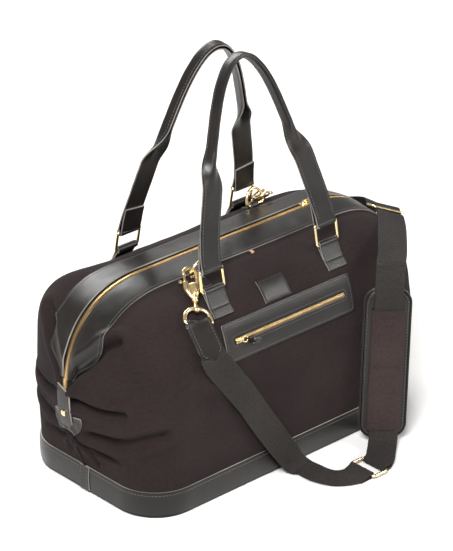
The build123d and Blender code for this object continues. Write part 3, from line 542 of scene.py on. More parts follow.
def distance_to(points, line):
    line = np.asarray(line, float)
    best = np.full(points.shape[:-1], 1e9)
    for a, b in zip(line, line[1:]):
        run = b - a
        share = np.clip(((points - a) @ run) / (run @ run), 0, 1)
        best = np.minimum(best, np.linalg.norm(points - a - share[..., None] * run, axis=-1))
    return best


def ripple(points, seed, size):
    """Smooth uneven waves, about -1 to 1."""
    rng = np.random.default_rng(seed)
    total = np.zeros(points.shape[:-1])
    for _ in range(7):
        way = unit(rng.normal(size=3))
        total += np.sin(points @ way * (2 * pi / (size * rng.uniform(0.7, 1.6))) + rng.uniform(0, 2 * pi))
    return total / 3.5


def dent(points, t):
    """How far the canvas is pushed out at points of the skin."""
    folded = np.concatenate([-np.abs(points[..., :2]), points[..., 2:]], -1)
    front = smooth((12 - points[..., 1]) / 24)
    left = smooth((12 - points[..., 0]) / 24)
    share = (front * (left * QUARTER_SHARES[-1, -1] + (1 - left) * QUARTER_SHARES[1, -1])
             + (1 - front) * (left * QUARTER_SHARES[-1, 1] + (1 - left) * QUARTER_SHARES[1, 1]))
    total = np.zeros(points.shape[:-1])
    for line, depth, width, swell in CREASES:
        away = distance_to(folded, line) / width
        total += swell * np.exp(-((away - 1.9) / 1.0) ** 2) - depth * np.exp(-away**2)
    total *= share
    for seed, size, height in WAVES:
        total += height * ripple(points, seed, size)
    for middle, reach, amount in SWELLS:
        total += amount * np.exp(-(np.linalg.norm(points - middle, axis=-1) / reach) ** 2)
    return total * smooth(t / 0.22) * (1 - smooth((t - 0.94) / 0.05))


def pushed_skin(u, t, side, lift, share_of):
    """The bag's surface, lifted by a share of how far the canvas is pushed out."""
    return skin(u, t, side, lift + share_of(dent(skin(u, t, side), np.broadcast_to(t, np.shape(u)))))


def soft_skin(u, t, side, lift=0.0):
    """The bag's surface with its creases."""
    return pushed_skin(u, t, side, lift, lambda pushed: pushed)


def firm_skin(u, t, side, lift=0.0):
    """The surface of a leather piece: it follows what pushes it out and hardly follows creases."""
    return pushed_skin(u, t, side, lift,
                       lambda pushed: np.maximum(pushed, 0) + FIRM_SHARE[side] * np.minimum(pushed, 0))


def slack_skin(u, t, side, lift=0.0):
    """The surface of the lining: it hangs free of the canvas and goes deeper at its creases."""
    return pushed_skin(u, t, side, lift - LINING_GAP, lambda pushed: LINING_DEPTH * np.minimum(pushed, 0))


def strip(name, us, low_t, high_t, side, bottom, top, rows, materials, surface=soft_skin):
    """A strip of the skin from low_t to high_t, functions of u, and from bottom to top off it."""
    share = np.linspace(0, 1, rows)[None, :]
    a, b = low_t(us)[:, None], high_t(us)[:, None]
    u, t = np.broadcast_to(us[:, None], (len(us), rows)), a + (b - a) * share
    return slab(name, surface(u, t, side, top), surface(u, t, side, bottom), materials)


# ---- canvas and lining -------------------------------------------------------------------------
SIDES = {"front": -1, "back": 1}
ENDS = {"left": -1, "right": 1}
FOOT_U = 1 - ZIP_FOOT
# The canvas ends at the end seams, is finer at the ends of the bag, and laps under the facings.
SEAM_U, FINE_U, CANVAS_LAP, CANVAS_GAP = 0.996, 0.45, 6.0, 0.8
CANVAS_THICK, LINING_BACK, LINING_FACE = 1.8, -5.0, -4.4
LINING_U, LINING_FOOT, LINING_INSET = 0.94, 0.02, 3


def canvas_foot(us):
    return 0 * us


def canvas_top(us):
    below = 1 - np.abs(us) < ZIP_FOOT
    lap = np.maximum(facing_width(us) - CANVAS_LAP, CANVAS_GAP)
    return from_zip(us, np.where(below, CANVAS_GAP, lap))


def lining_foot(us):
    return 0 * us + LINING_FOOT


def lining_top(us):
    return from_zip(us, FACING_WIDTH + LINING_INSET)


def declare_cloth(us, low_t, high_t):
    """Works out the skin's points over a panel between its two edges; the points are not kept."""
    rows = np.linspace(0, 1, 41)[:, None]
    t = low_t(us) * (1 - rows) + high_t(us) * rows
    points = raw_skin(np.broadcast_to(us, t.shape), t)


def build_canvas():
    fine = np.linspace(-SEAM_U, -FINE_U, 150)
    us = np.concatenate([fine, np.linspace(-FINE_U, FINE_U, 90)[1:-1], np.linspace(FINE_U, SEAM_U, 150)])
    lining_us = np.linspace(-LINING_U, LINING_U, 200)
    for name, side in SIDES.items():
        cloth = strip("canvas_" + name, us, canvas_foot, canvas_top, side, -CANVAS_THICK, 0.0, 120,
                      [CANVAS, CANVAS])
        settle(cloth, "root", "canvas_" + name, slot="canvas")
        declare_cloth(us, canvas_foot, canvas_top)
        inner = strip("lining_" + name, lining_us, lining_foot, lining_top, side, LINING_BACK, LINING_FACE,
                      60, [LINING, LINING], slack_skin)
        settle(inner, "root", "lining_" + name, slot="lining")
        declare_cloth(lining_us, lining_foot, lining_top)


# ---- zip, tapes and facings ----------------------------------------------------------------------
TOOTH_PITCH = 2.6
# The facings: from their lip to the zip, back and face off the skin, and how far the lip rises.
FACING_INSET, FACING_BACK, FACING_FACE, LIP_RISE = 6.0, 0.5, 2.6, {-1: 0.5, 1: 1.4}
INNER_ROW, OUTER_ROW = FACING_INSET + 3.2, 3.4
TAPE_WIDTH, TAPE_EDGE, TAPE_BACK, TAPE_FACE = 15.0, 1.6, -1.4, -0.5
# A tooth: reach from the zip's line, half width and half height, from its head to its foot.
TOOTH = [(-0.9, 0.95, 0.9), (0.4, 1.25, 1.25), (1.2, 0.75, 1.05), (3.2, 0.8, 0.95), (3.9, 0.7, 0.6)]
TOOTH_OUTLINE = [(-1, -0.75), (-1, 0.75), (-0.6, 1), (0.6, 1), (1, 0.75), (1, -0.75), (0.6, -1), (-0.6, -1)]
TOOTH_SLIM = 0.42
# The zip below the facings.
LOWER_U, LOWER_TAPE, LOWER_LIFT = 0.86, (7.5, 1.0, 0.4, 1.2), 1.4
SEAM_SPAN, SEAM_RADIUS = (0.995, 0.87), 1.5


def on_mouth(obj):
    """Bakes a piece's transform into its mesh."""
    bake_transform(obj)
    return obj


def across_zip(us, side):
    """Frames along the zip: its line, the way across it into one side, the way out."""
    middle = raw_skin(us, np.ones_like(us)) * (1, -side, 1)
    inner = raw_skin(us, from_zip(us, FACING_INSET)) * (1, -side, 1)
    run = unit(np.gradient(middle, axis=0))
    across = unit(inner - middle)
    out = unit(np.cross(run, across))
    away = middle - np.array([0, 0, 120.0])  # from a point inside the bag
    out = np.where((np.sum(out * away, axis=1) < 0)[:, None], -out, out)
    return middle, run, across, out


def teeth(name, middle, run, across, out, lift, pitch, second, size=1.0):
    """Metal teeth along a line; the second row of a zip stands half a pitch further on."""
    along = lengths_along(middle, 0)
    verts, faces = [], []
    for d in np.arange(pitch * 0.5 * second + 0.4, along[-1], pitch):
        here, x = at_distance(d, along, middle), at_distance(d, along, across)
        y, z = (unit(at_distance(d, along, rows)) for rows in (run, out))
        faces += ring_faces(len(verts), len(TOOTH), len(TOOTH_OUTLINE))
        for reach, wide, tall in TOOTH:
            verts += [here + x * reach * size + y * a * wide * TOOTH_SLIM * size
                      + z * (lift + b * tall * size)
                      for a, b in TOOTH_OUTLINE]
    return sharpen(recalculate(make_object(name, verts, faces, [ZIP_BRASS])), 50)


def facing_face(u, t, side, lift):
    """The surface of a facing, which rises to its lip."""
    near = 1 - smooth((1 - t) / np.maximum(1 - t[:, :1], 1e-6))
    return firm_skin(u, t, side, lift + LIP_RISE[side] * near**2)


def build_facing(name, side, end_name, us):
    """A half of a facing, from the foot of the zip to the middle of the bag, and its stitches."""
    facing = strip(f"zip_facing_{name}_{end_name}", us, lambda u: from_zip(u, facing_width(u)),
                   lambda u: from_zip(u, FACING_INSET), side, FACING_BACK, FACING_FACE, 26, [LEATHER, EDGE],
                   facing_face)
    on_mouth(facing)
    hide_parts("zip_facing_" + name, "zip_facing_end_" + end_name)
    rows = []
    for far in (INNER_ROW, facing_width(us) - OUTER_ROW):
        u, t = us[:, None], from_zip(us, far)[:, None]
        path, above = (facing_face(u, t, side, FACING_FACE + lift)[:, 0] for lift in (0, 1))
        rows.append(stitches("row", path, above - path))
    seam = join(f"zip_stitches_{name}_{end_name}", rows)
    on_mouth(seam)


def build_zip():
    for name, side in SIDES.items():
        for end_name, end in ENDS.items():
            us = end * np.linspace(FOOT_U, 0.0, 150)
            build_facing(name, side, end_name, us)
            tape = strip(f"zip_tape_{name}_{end_name}", us,
                         lambda u: from_zip(u, np.minimum(TAPE_WIDTH, facing_width(u) - 2.0)),
                         lambda u: from_zip(u, TAPE_EDGE), side, TAPE_BACK, TAPE_FACE, 6, [TAPE, TAPE], skin)
            on_mouth(tape)
            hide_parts("zip_tape_" + name, "zip_tape_ends")
            fine = end * np.linspace(FOOT_U, 0.0, 400)
            chain = teeth(f"zip_teeth_{name}_{end_name}", *across_zip(fine, side), 0.5, TOOTH_PITCH,
                          side > 0)
            on_mouth(chain)
            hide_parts("zip_chain_" + name, "zip_chain_ends")


def build_lower_zip():
    """Tape and teeth of the zip below the facings, down to its stop under the tail."""
    far, near, bottom, top = LOWER_TAPE
    for end_name, end in ENDS.items():
        us = end * np.linspace(LOWER_U, FOOT_U, 60)
        rows = [strip("tape", us, lambda u: from_zip(u, far), lambda u: from_zip(u, near), side,
                      bottom, top, 5, [TAPE, TAPE]) for side in (-1, 1)]
        settle(join("lower_zip_tape_" + end_name, rows), "root", slot="tape")
        rows = [teeth("chain", *across_zip(us, side), LOWER_LIFT, TOOTH_PITCH, side > 0) for side in (-1, 1)]
        settle(join("lower_zip_teeth_" + end_name, rows), "root", slot="brass")


def build_end_seams():
    """Rolled seam that joins the two halves of the canvas below the zip, at each end."""
    for end_name, end in ENDS.items():
        us = end * np.linspace(*SEAM_SPAN, 40)
        path = raw_skin(us, np.ones_like(us)) + np.array([end * 0.4, 0, 0])
        seam = tube("end_seam_" + end_name, path, SEAM_RADIUS + 0.2 * np.sin(path[:, 2] / 3), CANVAS)
        settle(seam, "root", slot="canvas")


# ---- leather base ----------------------------------------------------------------------------------
def base_outline(outset=0.0, arc_points=22):
    """The outline of the base, starting at the middle of the left end, and its outward ways."""
    places, ways = [], []
    r = CORNER + outset
    half_x, half_y = BAND_LENGTH / 2 - CORNER, BAND_DEPTH / 2 - CORNER
    for sx, sy, start in ((-1, -1, pi), (1, -1, 1.5 * pi), (1, 1, 0), (-1, 1, 0.5 * pi)):
        for a in np.linspace(start, start + pi / 2, arc_points):
            places.append((sx * half_x + r * cos(a), sy * half_y + r * sin(a)))
            ways.append((cos(a), sin(a)))
    places, ways = np.array(places), np.array(ways)
    dense, out = [], []
    for k in range(len(places)):
        nxt = (k + 1) % len(places)
        steps = max(int(np.linalg.norm(places[nxt] - places[k]) / 6), 1)
        for s in np.arange(steps) / steps:
            dense.append(places[k] * (1 - s) + places[nxt] * s)
            out.append(ways[k] * (1 - s) + ways[nxt] * s)
    return np.array(dense), unit(np.array(out))


# The band's wall: heights of its edges, how far it stands out, its thickness, the place of its stitches.
BAND_RISE, BAND_ROWS, BAND_SWELL, BAND_FACE, BAND_BACK, BAND_SEAM = (4.6, 38.0), 16, 1.3, 0.3, -1.9, 13
WELT_RADIUS = 2.1
LAP_HALF, LAP_SEAM, LAP_THICK = 9, 6.4, 1.9


def build_base():
    places, ways = base_outline()
    heights, bow = np.linspace(*BAND_RISE, BAND_ROWS), np.sin(np.linspace(0, pi, BAND_ROWS))
    wave = 0.5 * ripple(np.column_stack([places, 0 * places[:, 0]]), 11, 120.0)
    swell = BAND_SWELL + BAND_SWELL * bow ** 0.8

    def wall(outset):
        reach = outset + swell[None, :] + wave[:, None] * bow[None, :]
        xy = places[:, None] + ways[:, None] * reach[..., None]
        return np.concatenate([xy, np.broadcast_to(heights[None, :, None], (*reach.shape, 1))], -1)

    band = slab("base_band", wall(BAND_FACE), wall(BAND_BACK), [LEATHER, EDGE], closed=True)
    settle(band, "root", "base_band", slot="leather")
    closed = np.append(np.arange(len(places)), 0)
    normals = np.column_stack([ways[closed], 0 * closed])
    row = stitches("base_stitches_upper", wall(BAND_FACE)[closed, BAND_SEAM], normals, 4.6, 3.2)
    settle(row, "root", slot="tape")
    welt = np.column_stack([base_outline(-2.0)[0], np.full(len(places), WELT_RADIUS)])
    settle(tube("base_welt", welt, WELT_RADIUS, LEATHER, closed=True, sides=12), "root", "base_welt",
           slot="leather")
    for end_name, end in ENDS.items():
        def line(y):
            return np.array([(end * (BAND_LENGTH / 2 + out + LAP_THICK), y, z)
                             for out, z in zip(swell, heights)])

        top = np.array([line(y) for y in np.linspace(-LAP_HALF, LAP_HALF, 7)])
        lap = slab("base_lap_" + end_name, top, top - np.array([end * LAP_THICK, 0, 0]), [LEATHER, EDGE])
        settle(lap, "root", slot="leather")
        for y, side_name in ((-LAP_SEAM, "f"), (LAP_SEAM, "b")):
            path = line(y)[1:-1]
            row = stitches(f"base_lap_stitches_{end_name[0]}{side_name}", path,
                           np.tile([end, 0, 0], (len(path), 1)), 4.4)
            settle(row, "root", slot="tape")


# ---- flat pieces on the front ---------------------------------------------------------------------
HEIGHTS = np.linspace(0, 1, 301)
MIDDLE_CURVE = raw_skin(np.zeros(301), HEIGHTS)


def on_front(x, z, lift):
    """Points a distance off the front canvas, at places x along it and heights z."""
    x, z = arrays(x, z)
    t = np.interp(z, MIDDLE_CURVE[:, 2], HEIGHTS)
    here = skin(0 * t, t, -1, lift)
    return np.stack([x, here[..., 1], here[..., 2]], -1)


def rounded_loop(x_low, x_high, z_low, z_high, corner, per_corner=6, per_side=24):
    """Points round a rectangle with rounded corners, always the same number of them."""
    centres = ((x_high - corner, z_high - corner, 0), (x_low + corner, z_high - corner, 90),
               (x_low + corner, z_low + corner, 180), (x_high - corner, z_low + corner, 270))
    corners = []
    for cx, cz, start in centres:
        turn = np.radians(np.linspace(start, start + 90, per_corner))
        corners.append(np.stack([cx + corner * np.cos(turn), cz + corner * np.sin(turn)], -1))
    loop = []
    for k in range(4):
        loop.append(corners[k])
        a, b = corners[k][-1], corners[(k + 1) % 4][0]
        share = np.linspace(0, 1, per_side + 2)[1:-1, None]
        loop.append(a * (1 - share) + b * share)
    return np.vstack(loop)


def framed_plate(name, outer, inner, lift, thick, materials):
    """A leather frame on the front canvas between two loops of (x, z) points."""
    share = np.linspace(0, 1, 5)[None, :, None]
    flat = outer[:, None] * (1 - share) + inner[:, None] * share
    crown = 0.25 * np.sin(share[..., 0] * pi)
    top = on_front(flat[..., 0], flat[..., 1], lift + thick + crown)
    return slab(name, top, on_front(flat[..., 0], flat[..., 1], lift), materials, closed=True)


def loop_stitches(name, loop, lift, pitch=4.0, material=THREAD):
    x, z = np.vstack([loop, loop[:1]]).T
    path = on_front(x, z, lift)
    return stitches(name, path, on_front(x, z, lift + 1) - path, pitch, 2.8, 0.36, material)


# Pieces on the front start this far off the canvas; faces of the panel, its tape and its teeth.
FRONT_LIFT, PANEL_THICK, TAPE_LIFT, TEETH_LIFT = 0.3, 2.0, 0.8, 1.7
PANEL_SEAM, POCKET_PITCH, POCKET_TOOTH = 3, 2.3, 0.72


def build_pocket():
    (x0, _, z0), (x1, _, z1) = low("pocket_panel"), high("pocket_panel")
    (s0, _, w0), (s1, _, w1) = low("pocket_zip_tape"), high("pocket_zip_tape")
    outer, inner = rounded_loop(x0, x1, z0, z1, 3.0), rounded_loop(s0, s1, w0, w1, 3.6)
    panel = framed_plate("pocket_panel", outer, inner, FRONT_LIFT, PANEL_THICK, [LEATHER, EDGE])
    settle(panel, "root", "pocket_panel", slot="leather")
    d = PANEL_SEAM
    rows = [loop_stitches("row", rounded_loop(x0 + d, x1 - d, z0 + d, z1 - d, 2.0), 2.4),
            loop_stitches("row", rounded_loop(s0 - d, s1 + d, w0 - d, w1 + d, 5.0), 2.4)]
    settle(join("pocket_stitches", rows), "root", slot="tape")
    xs = np.linspace(s0 + 0.3, s1 - 0.3, 60)
    zs = np.linspace(w0 + 0.3, w1 - 0.3, 5)
    tape = slab("pocket_zip_tape", on_front(xs[:, None], zs[None], TAPE_LIFT),
                on_front(xs[:, None], zs[None], FRONT_LIFT), [TAPE, TAPE])
    settle(tape, "root", "pocket_zip_tape", slot="tape")
    line, above = (on_front(xs, (w0 + w1) / 2, TEETH_LIFT + lift) for lift in (0, 1))
    out = unit(above - line)
    run = np.tile([1.0, 0, 0], (len(xs), 1))
    rows = [teeth("row", line, run, np.cross(out, run) * s, out, 0.0, POCKET_PITCH, s < 0, POCKET_TOOTH)
            for s in (-1, 1)]
    settle(join("pocket_zip_teeth", rows), "root", "pocket_zip_chain", slot="brass")


def build_pocket_puller():
    """Knotted black cord on the slider of the pocket, ending in a short leather tab."""
    (x0, y0, _), (_, _, z1) = low("pocket_pull"), high("pocket_pull")
    start = np.array([x0 + 2.2, y0 + 3.0, z1 - 3.5])
    turn = np.linspace(0, 2 * pi, 40, endpoint=False)
    ring = start + np.stack([3.4 + 4.2 * np.cos(turn), 1.2 * np.sin(turn), 3.6 * np.sin(turn)], -1)
    rows = [tube("row", ring, 0.8, ZIP_BRASS, closed=True, sides=10)]
    share = np.linspace(0, 1, 60)
    for phase in (0, pi):
        path = start + np.stack([7 + 13 * share, -0.6 + 0.9 * np.sin(share * 12 + phase),
                                 -1.5 - 7 * share + 1.3 * np.cos(share * 12 + phase)], -1)
        rows.append(tube("cord", path, 1.35, TAPE, sides=10))
    tab_path = start + np.stack([np.linspace(18, 29, 12), np.full(12, -0.8),
                                 np.linspace(-7.5, -11.5, 12)], -1)
    rows.append(leather_strip("tab", tab_path, np.tile([0.34, 0, 0.94], (12, 1)), 7.5, 2.4)[0])
    settle(join("pocket_pull", rows), "pocket_pull", "pocket_pull", slot="leather")


TAG_HALF, TAG_THICK = 2.4, 0.7


def build_seam_tag():
    """Small folded cloth tag caught in the seam under the front facing."""
    t = from_zip(np.zeros(8), np.linspace(FACING_WIDTH + 0.6, FACING_WIDTH + 6.6, 8))
    lift = 1.3 + 0.9 * np.sin(np.linspace(0, pi, 8))
    top, under = (np.stack([skin(np.full(8, u_of(x)), t, -1, lift - drop)
                            for x in np.linspace(-TAG_HALF, TAG_HALF, 6)]) for drop in (0, TAG_THICK))
    settle(slab("seam_tag", top, under, [TAG, TAG]), "root", slot="tape")


PATCH_FACE, PATCH_CROWN, PATCH_SEAM = 1.5, 0.7, 2


def build_patch():
    (x0, _, z0), (x1, _, z1) = low("leather_patch"), high("leather_patch")
    xs, zs = np.linspace(x0, x1, 24)[:, None], np.linspace(z0, z1, 14)[None]
    fade = np.minimum(np.sin(np.linspace(0, pi, 24))[:, None], np.sin(np.linspace(0, pi, 14))[None]) ** 0.4
    patch = slab("leather_patch", on_front(xs, zs, PATCH_FACE + PATCH_CROWN * fade),
                 on_front(xs, zs, FRONT_LIFT), [LEATHER, EDGE])
    settle(patch, "root", "leather_patch", slot="leather")
    d = PATCH_SEAM
    row = loop_stitches("patch_stitches", rounded_loop(x0 + d, x1 - d, z0 + d, z1 - d, 1.0, 3, 8), 2.3, 3.4,
                        DARK_THREAD)
    settle(row, "root", slot="tape")


# ---- straps of leather ------------------------------------------------------------------------------
# The half width of a strip that bends when it folds, and the columns of its points that are stitched.
BEND, EDGE_COLUMNS = 3.0, (2, 18)


def leather_strip(name, path, across, width, thick, fold=0.0, taper=1.0, wobble=0.0):
    """A strip with raw edges, and its grids of middle points and normals, 21 points wide.

    fold, from 0 to 1, closes it about its middle line; taper is a share of its width.
    """
    path = np.asarray(path, float)
    _, across, face = turning(path, np.asarray(across, float))
    n = len(path)
    fold = np.broadcast_to(fold, (n,))[:, None] * pi / 2
    half = np.broadcast_to(width / 2 * taper, (n,))[:, None]
    share = np.linspace(-1, 1, 21)[None, :]
    s = share * half
    turned_by = fold * np.clip(np.abs(s) / BEND, 0, 1)
    small = fold < 1e-4
    safe = np.where(small, 1.0, fold)
    inside = np.minimum(np.abs(s), BEND)
    x_arc = np.where(small, inside, BEND / safe * np.sin(safe * inside / BEND))
    depth_arc = np.where(small, 0.0, BEND / safe * (1 - np.cos(safe * inside / BEND)))
    beyond = np.abs(s) - inside
    x = np.sign(s) * (x_arc + beyond * np.cos(fold))
    depth = depth_arc + beyond * np.sin(fold)
    centre = path[:, None] + across[:, None] * x[..., None] + face[:, None] * depth[..., None]
    normal = (face[:, None] * np.cos(turned_by)[..., None]
              - across[:, None] * (np.sign(s) * np.sin(turned_by))[..., None])
    ease = thick / 2 * (1 - 0.35 * np.abs(share) ** 12)[..., None]
    waves = wobble * ripple(centre, 21, 17.0)[..., None]
    top, under = centre + normal * (ease + waves), centre - normal * (ease - waves)
    return slab(name, top, under, [LEATHER, EDGE]), centre, normal


def edge_stitches(name, centre, normal, thick, side, first, last):
    """Stitches along both edges of a strip, on one side of it, between two of its rows."""
    rows = []
    for column in EDGE_COLUMNS:
        out = normal[first:last, column] * side
        rows.append(stitches("row", centre[first:last, column] + out * thick / 2, out, 4.4, 3.1, 0.4))
    return join(name, rows)


LEAN_UP = np.array([0, sin(RING_LEAN), cos(RING_LEAN)])
LEAN_OFF = np.array([0, cos(RING_LEAN), -sin(RING_LEAN)])


def lean_point(x, height, off=0.0):
    """A point of the front handle's plane, height above the lower bars of its rings."""
    x, height, off = arrays(x, height, off)
    return (np.stack([x, 0 * x - RING_Y, 0 * x + RING_Z], -1) + LEAN_UP * height[..., None]
            + LEAN_OFF * off[..., None])


# The left half of a handle's arch: half the distance between its legs, and height.
HANDLE_ARCH = [(98, 22), (93, 45), (85, 75), (76, 108), (68, 136), (59, 164), (48, 195), (35, 222),
               (18, 243), (0, 250)]
FOLD_START, FOLD_END, FOLD_SHARE = 95.0, 150.0, 0.97
BAR_WRAP, ARCH_OFF, LEG_SPREAD = 3.7, -1.6, 0.12


def handle_stations():
    """x, height above the upper bar and off along a handle, from inner end to inner end."""
    leg = [(33, 1.9), (22, 1.9), (10, 2.6)]
    leg += [(BAR_WRAP * cos(a), BAR_WRAP * sin(a)) for a in np.radians([60, 90, 135, 180, 225, 270, 300])]
    lower = [(RING_X - LEG_SPREAD * max(h, 0), h, off) for h, off in leg] + [(99.4, 12, -2.2)]
    arch = [(x, h, ARCH_OFF - ARCH_OFF * min(max((h - 20) / 30, 0), 1)) for x, h in HANDLE_ARCH]
    left = [(-x, h, off) for x, h, off in lower + arch]
    return left + [(-x, h, off) for x, h, off in reversed(left[:-1])]


def build_handles():
    x, h, off = catmull(handle_stations(), 6).T
    path = lean_point(x, RING_PITCH + h, off)
    run = unit(np.gradient(np.stack([x, h], -1), axis=0))
    along_bar = np.where(x < 0, 1.0, -1.0)[:, None] * np.array([[1.0, 0.0]])
    inner_leg = (off > 0) & (h < 36)
    mix = np.where(inner_leg[:, None], 1.0, smooth((16 - h) / 6)[:, None])
    flat = unit(np.stack([run[:, 1], -run[:, 0]], -1) * (1 - mix) + along_bar * mix)
    across = flat[:, :1] * np.array([1.0, 0, 0]) + flat[:, 1:] * LEAN_UP
    fold = smooth((h - FOLD_START) / (FOLD_END - FOLD_START)) * FOLD_SHARE
    outer_leg = np.where((h > 6) & (off < 1.2))[0]
    for name, place in PLACES:
        strap, centre, normal = leather_strip("handle_" + name, place(path), place(across), HANDLE_WIDTH,
                                              HANDLE_THICK, fold, wobble=0.12)
        settle(strap, "handle_" + name, "handle_" + name, slot="leather")
        row = edge_stitches("handle_stitches_" + name, centre, normal, HANDLE_THICK, -1,
                            outer_leg[0], outer_leg[-1])
        settle(row, "handle_" + name, slot="tape")


TAB_LIFT, TAB_BACK_LIFT, TAB_WRAP, TAB_THICK = 1.6, 0.4, 3.6, 2.4
TAB_FOOT, TAB_TOP, TAB_BACK = 241.0, 252.0, 247.0


def ring_tab_outline():
    """Side view of a tab sewn on the front and looped round a ring's bar: points (y, z)."""
    bar = np.array([-RING_Y, RING_Z])
    outer = on_front(0.0, np.linspace(TAB_FOOT, TAB_TOP, 5), TAB_LIFT)[:, 1:]
    inner = on_front(0.0, np.linspace(TAB_TOP, TAB_BACK, 3), TAB_BACK_LIFT)[:, 1:]
    rise = unit(bar - outer[-1])
    left = np.array([-rise[1], rise[0]])
    turn = [bar + TAB_WRAP * (left * cos(a) + rise * sin(a)) for a in np.radians(np.linspace(-60, 240, 9))]
    if turn[0][0] > turn[-1][0]:
        turn = turn[::-1]
    return np.vstack([outer, turn, inner])


def bent_round(outline, x, per_span):
    """A strap's path and width directions from its side view, at a place along the bag."""
    path = catmull(np.column_stack([np.full(len(outline), x), outline]), per_span)
    return path, np.tile([1.0, 0, 0], (len(path), 1))


def build_ring_tabs():
    outline = ring_tab_outline()
    for x, names in ((-RING_X, ("front_left", "back_right")), (RING_X, ("front_right", "back_left"))):
        path, across = bent_round(outline, x, 5)
        for name, (_, place) in zip(names, PLACES):
            tab, centre, normal = leather_strip("ring_tab_" + name, place(path), place(across), HANDLE_WIDTH,
                                                TAB_THICK)
            settle(tab, "root", "ring_tab_" + name, slot="leather")
            outward = np.sign(normal[3, 10, 1] * centre[3, 10, 1])
            row = edge_stitches("ring_tab_stitches_" + name, centre, normal, TAB_THICK, outward, 1, 26)
            settle(row, "root", slot="tape")


# ---- D-rings, hooks and the shoulder strap --------------------------------------------------------
D_BAR = np.array([-99.0, -52.0, 279.2])
CROOK = np.array([-113.5, -54.5, 286.0])
EYE_BAR = np.array([-149.0, -110.0, 250.0])
FRONT_TURN, BACK_TURN = radians(-5), radians(20)
FRONT_DOWN, BACK_DOWN = np.array([0.159, -0.426, -0.891]), np.array([0.586, 0.31, -0.75])


KEEPER_X, KEEPER_WIDTH, KEEPER_THICK, KEEPER_WRAP = -96.0, 12.0, 1.5, 2.9
KEEPER_FROM_ZIP = (71.0, 66.0, 61.0, 58.0)


def build_keepers():
    ts = from_zip(np.zeros(4), np.array(KEEPER_FROM_ZIP))
    outer = skin(np.zeros(4), ts, -1, 1.3)[:, 1:]
    turn = [D_BAR[1:] + KEEPER_WRAP * np.array([-cos(a), sin(a)])
            for a in np.radians(np.linspace(-20, 200, 8))]
    under = skin(np.zeros(2), ts[3:1:-1], -1, 0.4)[:, 1:]
    path, across = bent_round(np.vstack([outer, turn, under]), KEEPER_X, 4)
    for name, place in PLACES:
        keeper = leather_strip("d_keeper_" + name, place(path), place(across), KEEPER_WIDTH, KEEPER_THICK)[0]
        settle(keeper, "root", "d_keeper_" + name, slot="leather")


def hook_axes():
    axis = unit(EYE_BAR - CROOK)
    across = unit(np.array([1.0, 0, 0]) - axis * axis[0])
    up = -axis
    return across, up, np.cross(across, up)


def bar_direction(turn):
    across, _, normal = hook_axes()
    return across * cos(turn) - normal * sin(turn)


def tab_stations(bar, across, down, distances):
    flat = unit(across - down * np.dot(across, down))
    return [(bar + down * d, across + (flat - across) * min(d / 30, 1)) for d in distances]


# Distances down a strap tab from the hook's bar, and off its middle plane; angles round the bar.
TAB_SIDE = ((50, 2.3), (40, 2.4), (28, 2.4), (16, 2.6), (6, 3.2))
TAB_TURN = (150, 120, 90, 60, 30)
TAB_RADIUS, STRAP_TAB_WIDTH, STRAP_TAB_THICK = 3.5, 39.0, 1.9
# How a strap tab narrows: over this length to its ends, and all along it.
TAPER_RUN, TAPER_DEPTH, TAPER_ALL = 13.0, 0.75, 0.80


def build_strap_tabs():
    for name, bar, across, down in (
            ("front", EYE_BAR, bar_direction(FRONT_TURN), unit(FRONT_DOWN)),
            ("back", turned(EYE_BAR), turned(bar_direction(BACK_TURN)), unit(BACK_DOWN))):
        face = unit(np.cross(down, across))

        def side_rows(distances_off, sign):
            stations_of = tab_stations(bar, across, down, [d for d, _ in distances_off])
            return [[*(place + face * off * sign), *way]
                    for (place, way), (_, off) in zip(stations_of, distances_off)]

        rows = side_rows(TAB_SIDE, 1)
        for a in np.radians(TAB_TURN):
            rows.append([*(bar + TAB_RADIUS * (-down * sin(a) - face * cos(a))), *across])
        data = catmull(rows + side_rows(TAB_SIDE[::-1], -1), 5)
        along = lengths_along(data[:, :3], 0)
        end_gap = np.minimum(along, along[-1] - along)
        taper = (1 - TAPER_DEPTH * (1 - smooth(end_gap / TAPER_RUN)) ** 1.3) * TAPER_ALL
        tab, centre, normal = leather_strip("strap_tab_" + name, data[:, :3], data[:, 3:], STRAP_TAB_WIDTH,
                                            STRAP_TAB_THICK, taper=taper)
        settle(tab, "root", "strap_tab_" + name, slot="leather")
        outward = 1 if np.dot(normal[3, 10], centre[3, 10] - centre[-4, 10]) > 0 else -1
        row = edge_stitches("strap_tab_stitches_" + name, centre, normal, STRAP_TAB_THICK, outward, 3,
                            len(data) - 3)
        settle(row, "root", slot="tape")


# Places of the front webbing's middle line, each with the direction of its width.
FRONT_WEB = [((-112, -131.5, 163), (0.85, -0.2, 0.5)), ((-89, -135, 130), (0.85, 0, 0.5)),
             ((-69, -136.5, 98), (0.85, 0, 0.5)), ((-48, -137.5, 66), (0.85, 0, 0.5)),
             ((-29, -138, 38), (0.87, 0.1, 0.45)), ((-12, -140, 14), (0.9, 0.2, 0.3)),
             ((-3, -148, 5), (0.95, 0.3, 0)), ((-1, -160, 3), (0.95, 0.3, 0)),
             ((1, -180, 3), (0.9, 0.45, 0)), ((10, -198, 3), (0.5, 0.85, 0))]
# The link ring's two bars, its height, and how far webbing lies from a bar's middle.
LINK_LEFT, LINK_RIGHT, LINK_Y, LINK_Z, WRAP = 45.0, 69.0, -209.0, 5.5, 3.2
PAD_FOOT, PAD_ALONG = np.array([118.0, -174, 9]), unit([0.13, 0.095, 0.987])
PAD_ACROSS = unit([0.784, -0.631, -0.0425])
PAD_OUT = np.cross(PAD_ACROSS, PAD_ALONG)
LAYER = 1.6
SLIDER_AT, SLIDER_ALONG = np.array([255.0, -36, 252.5]), unit([0.395, 0.864, -0.3125])
SLIDER_ACROSS = np.array([0.81, -0.49, -0.33])
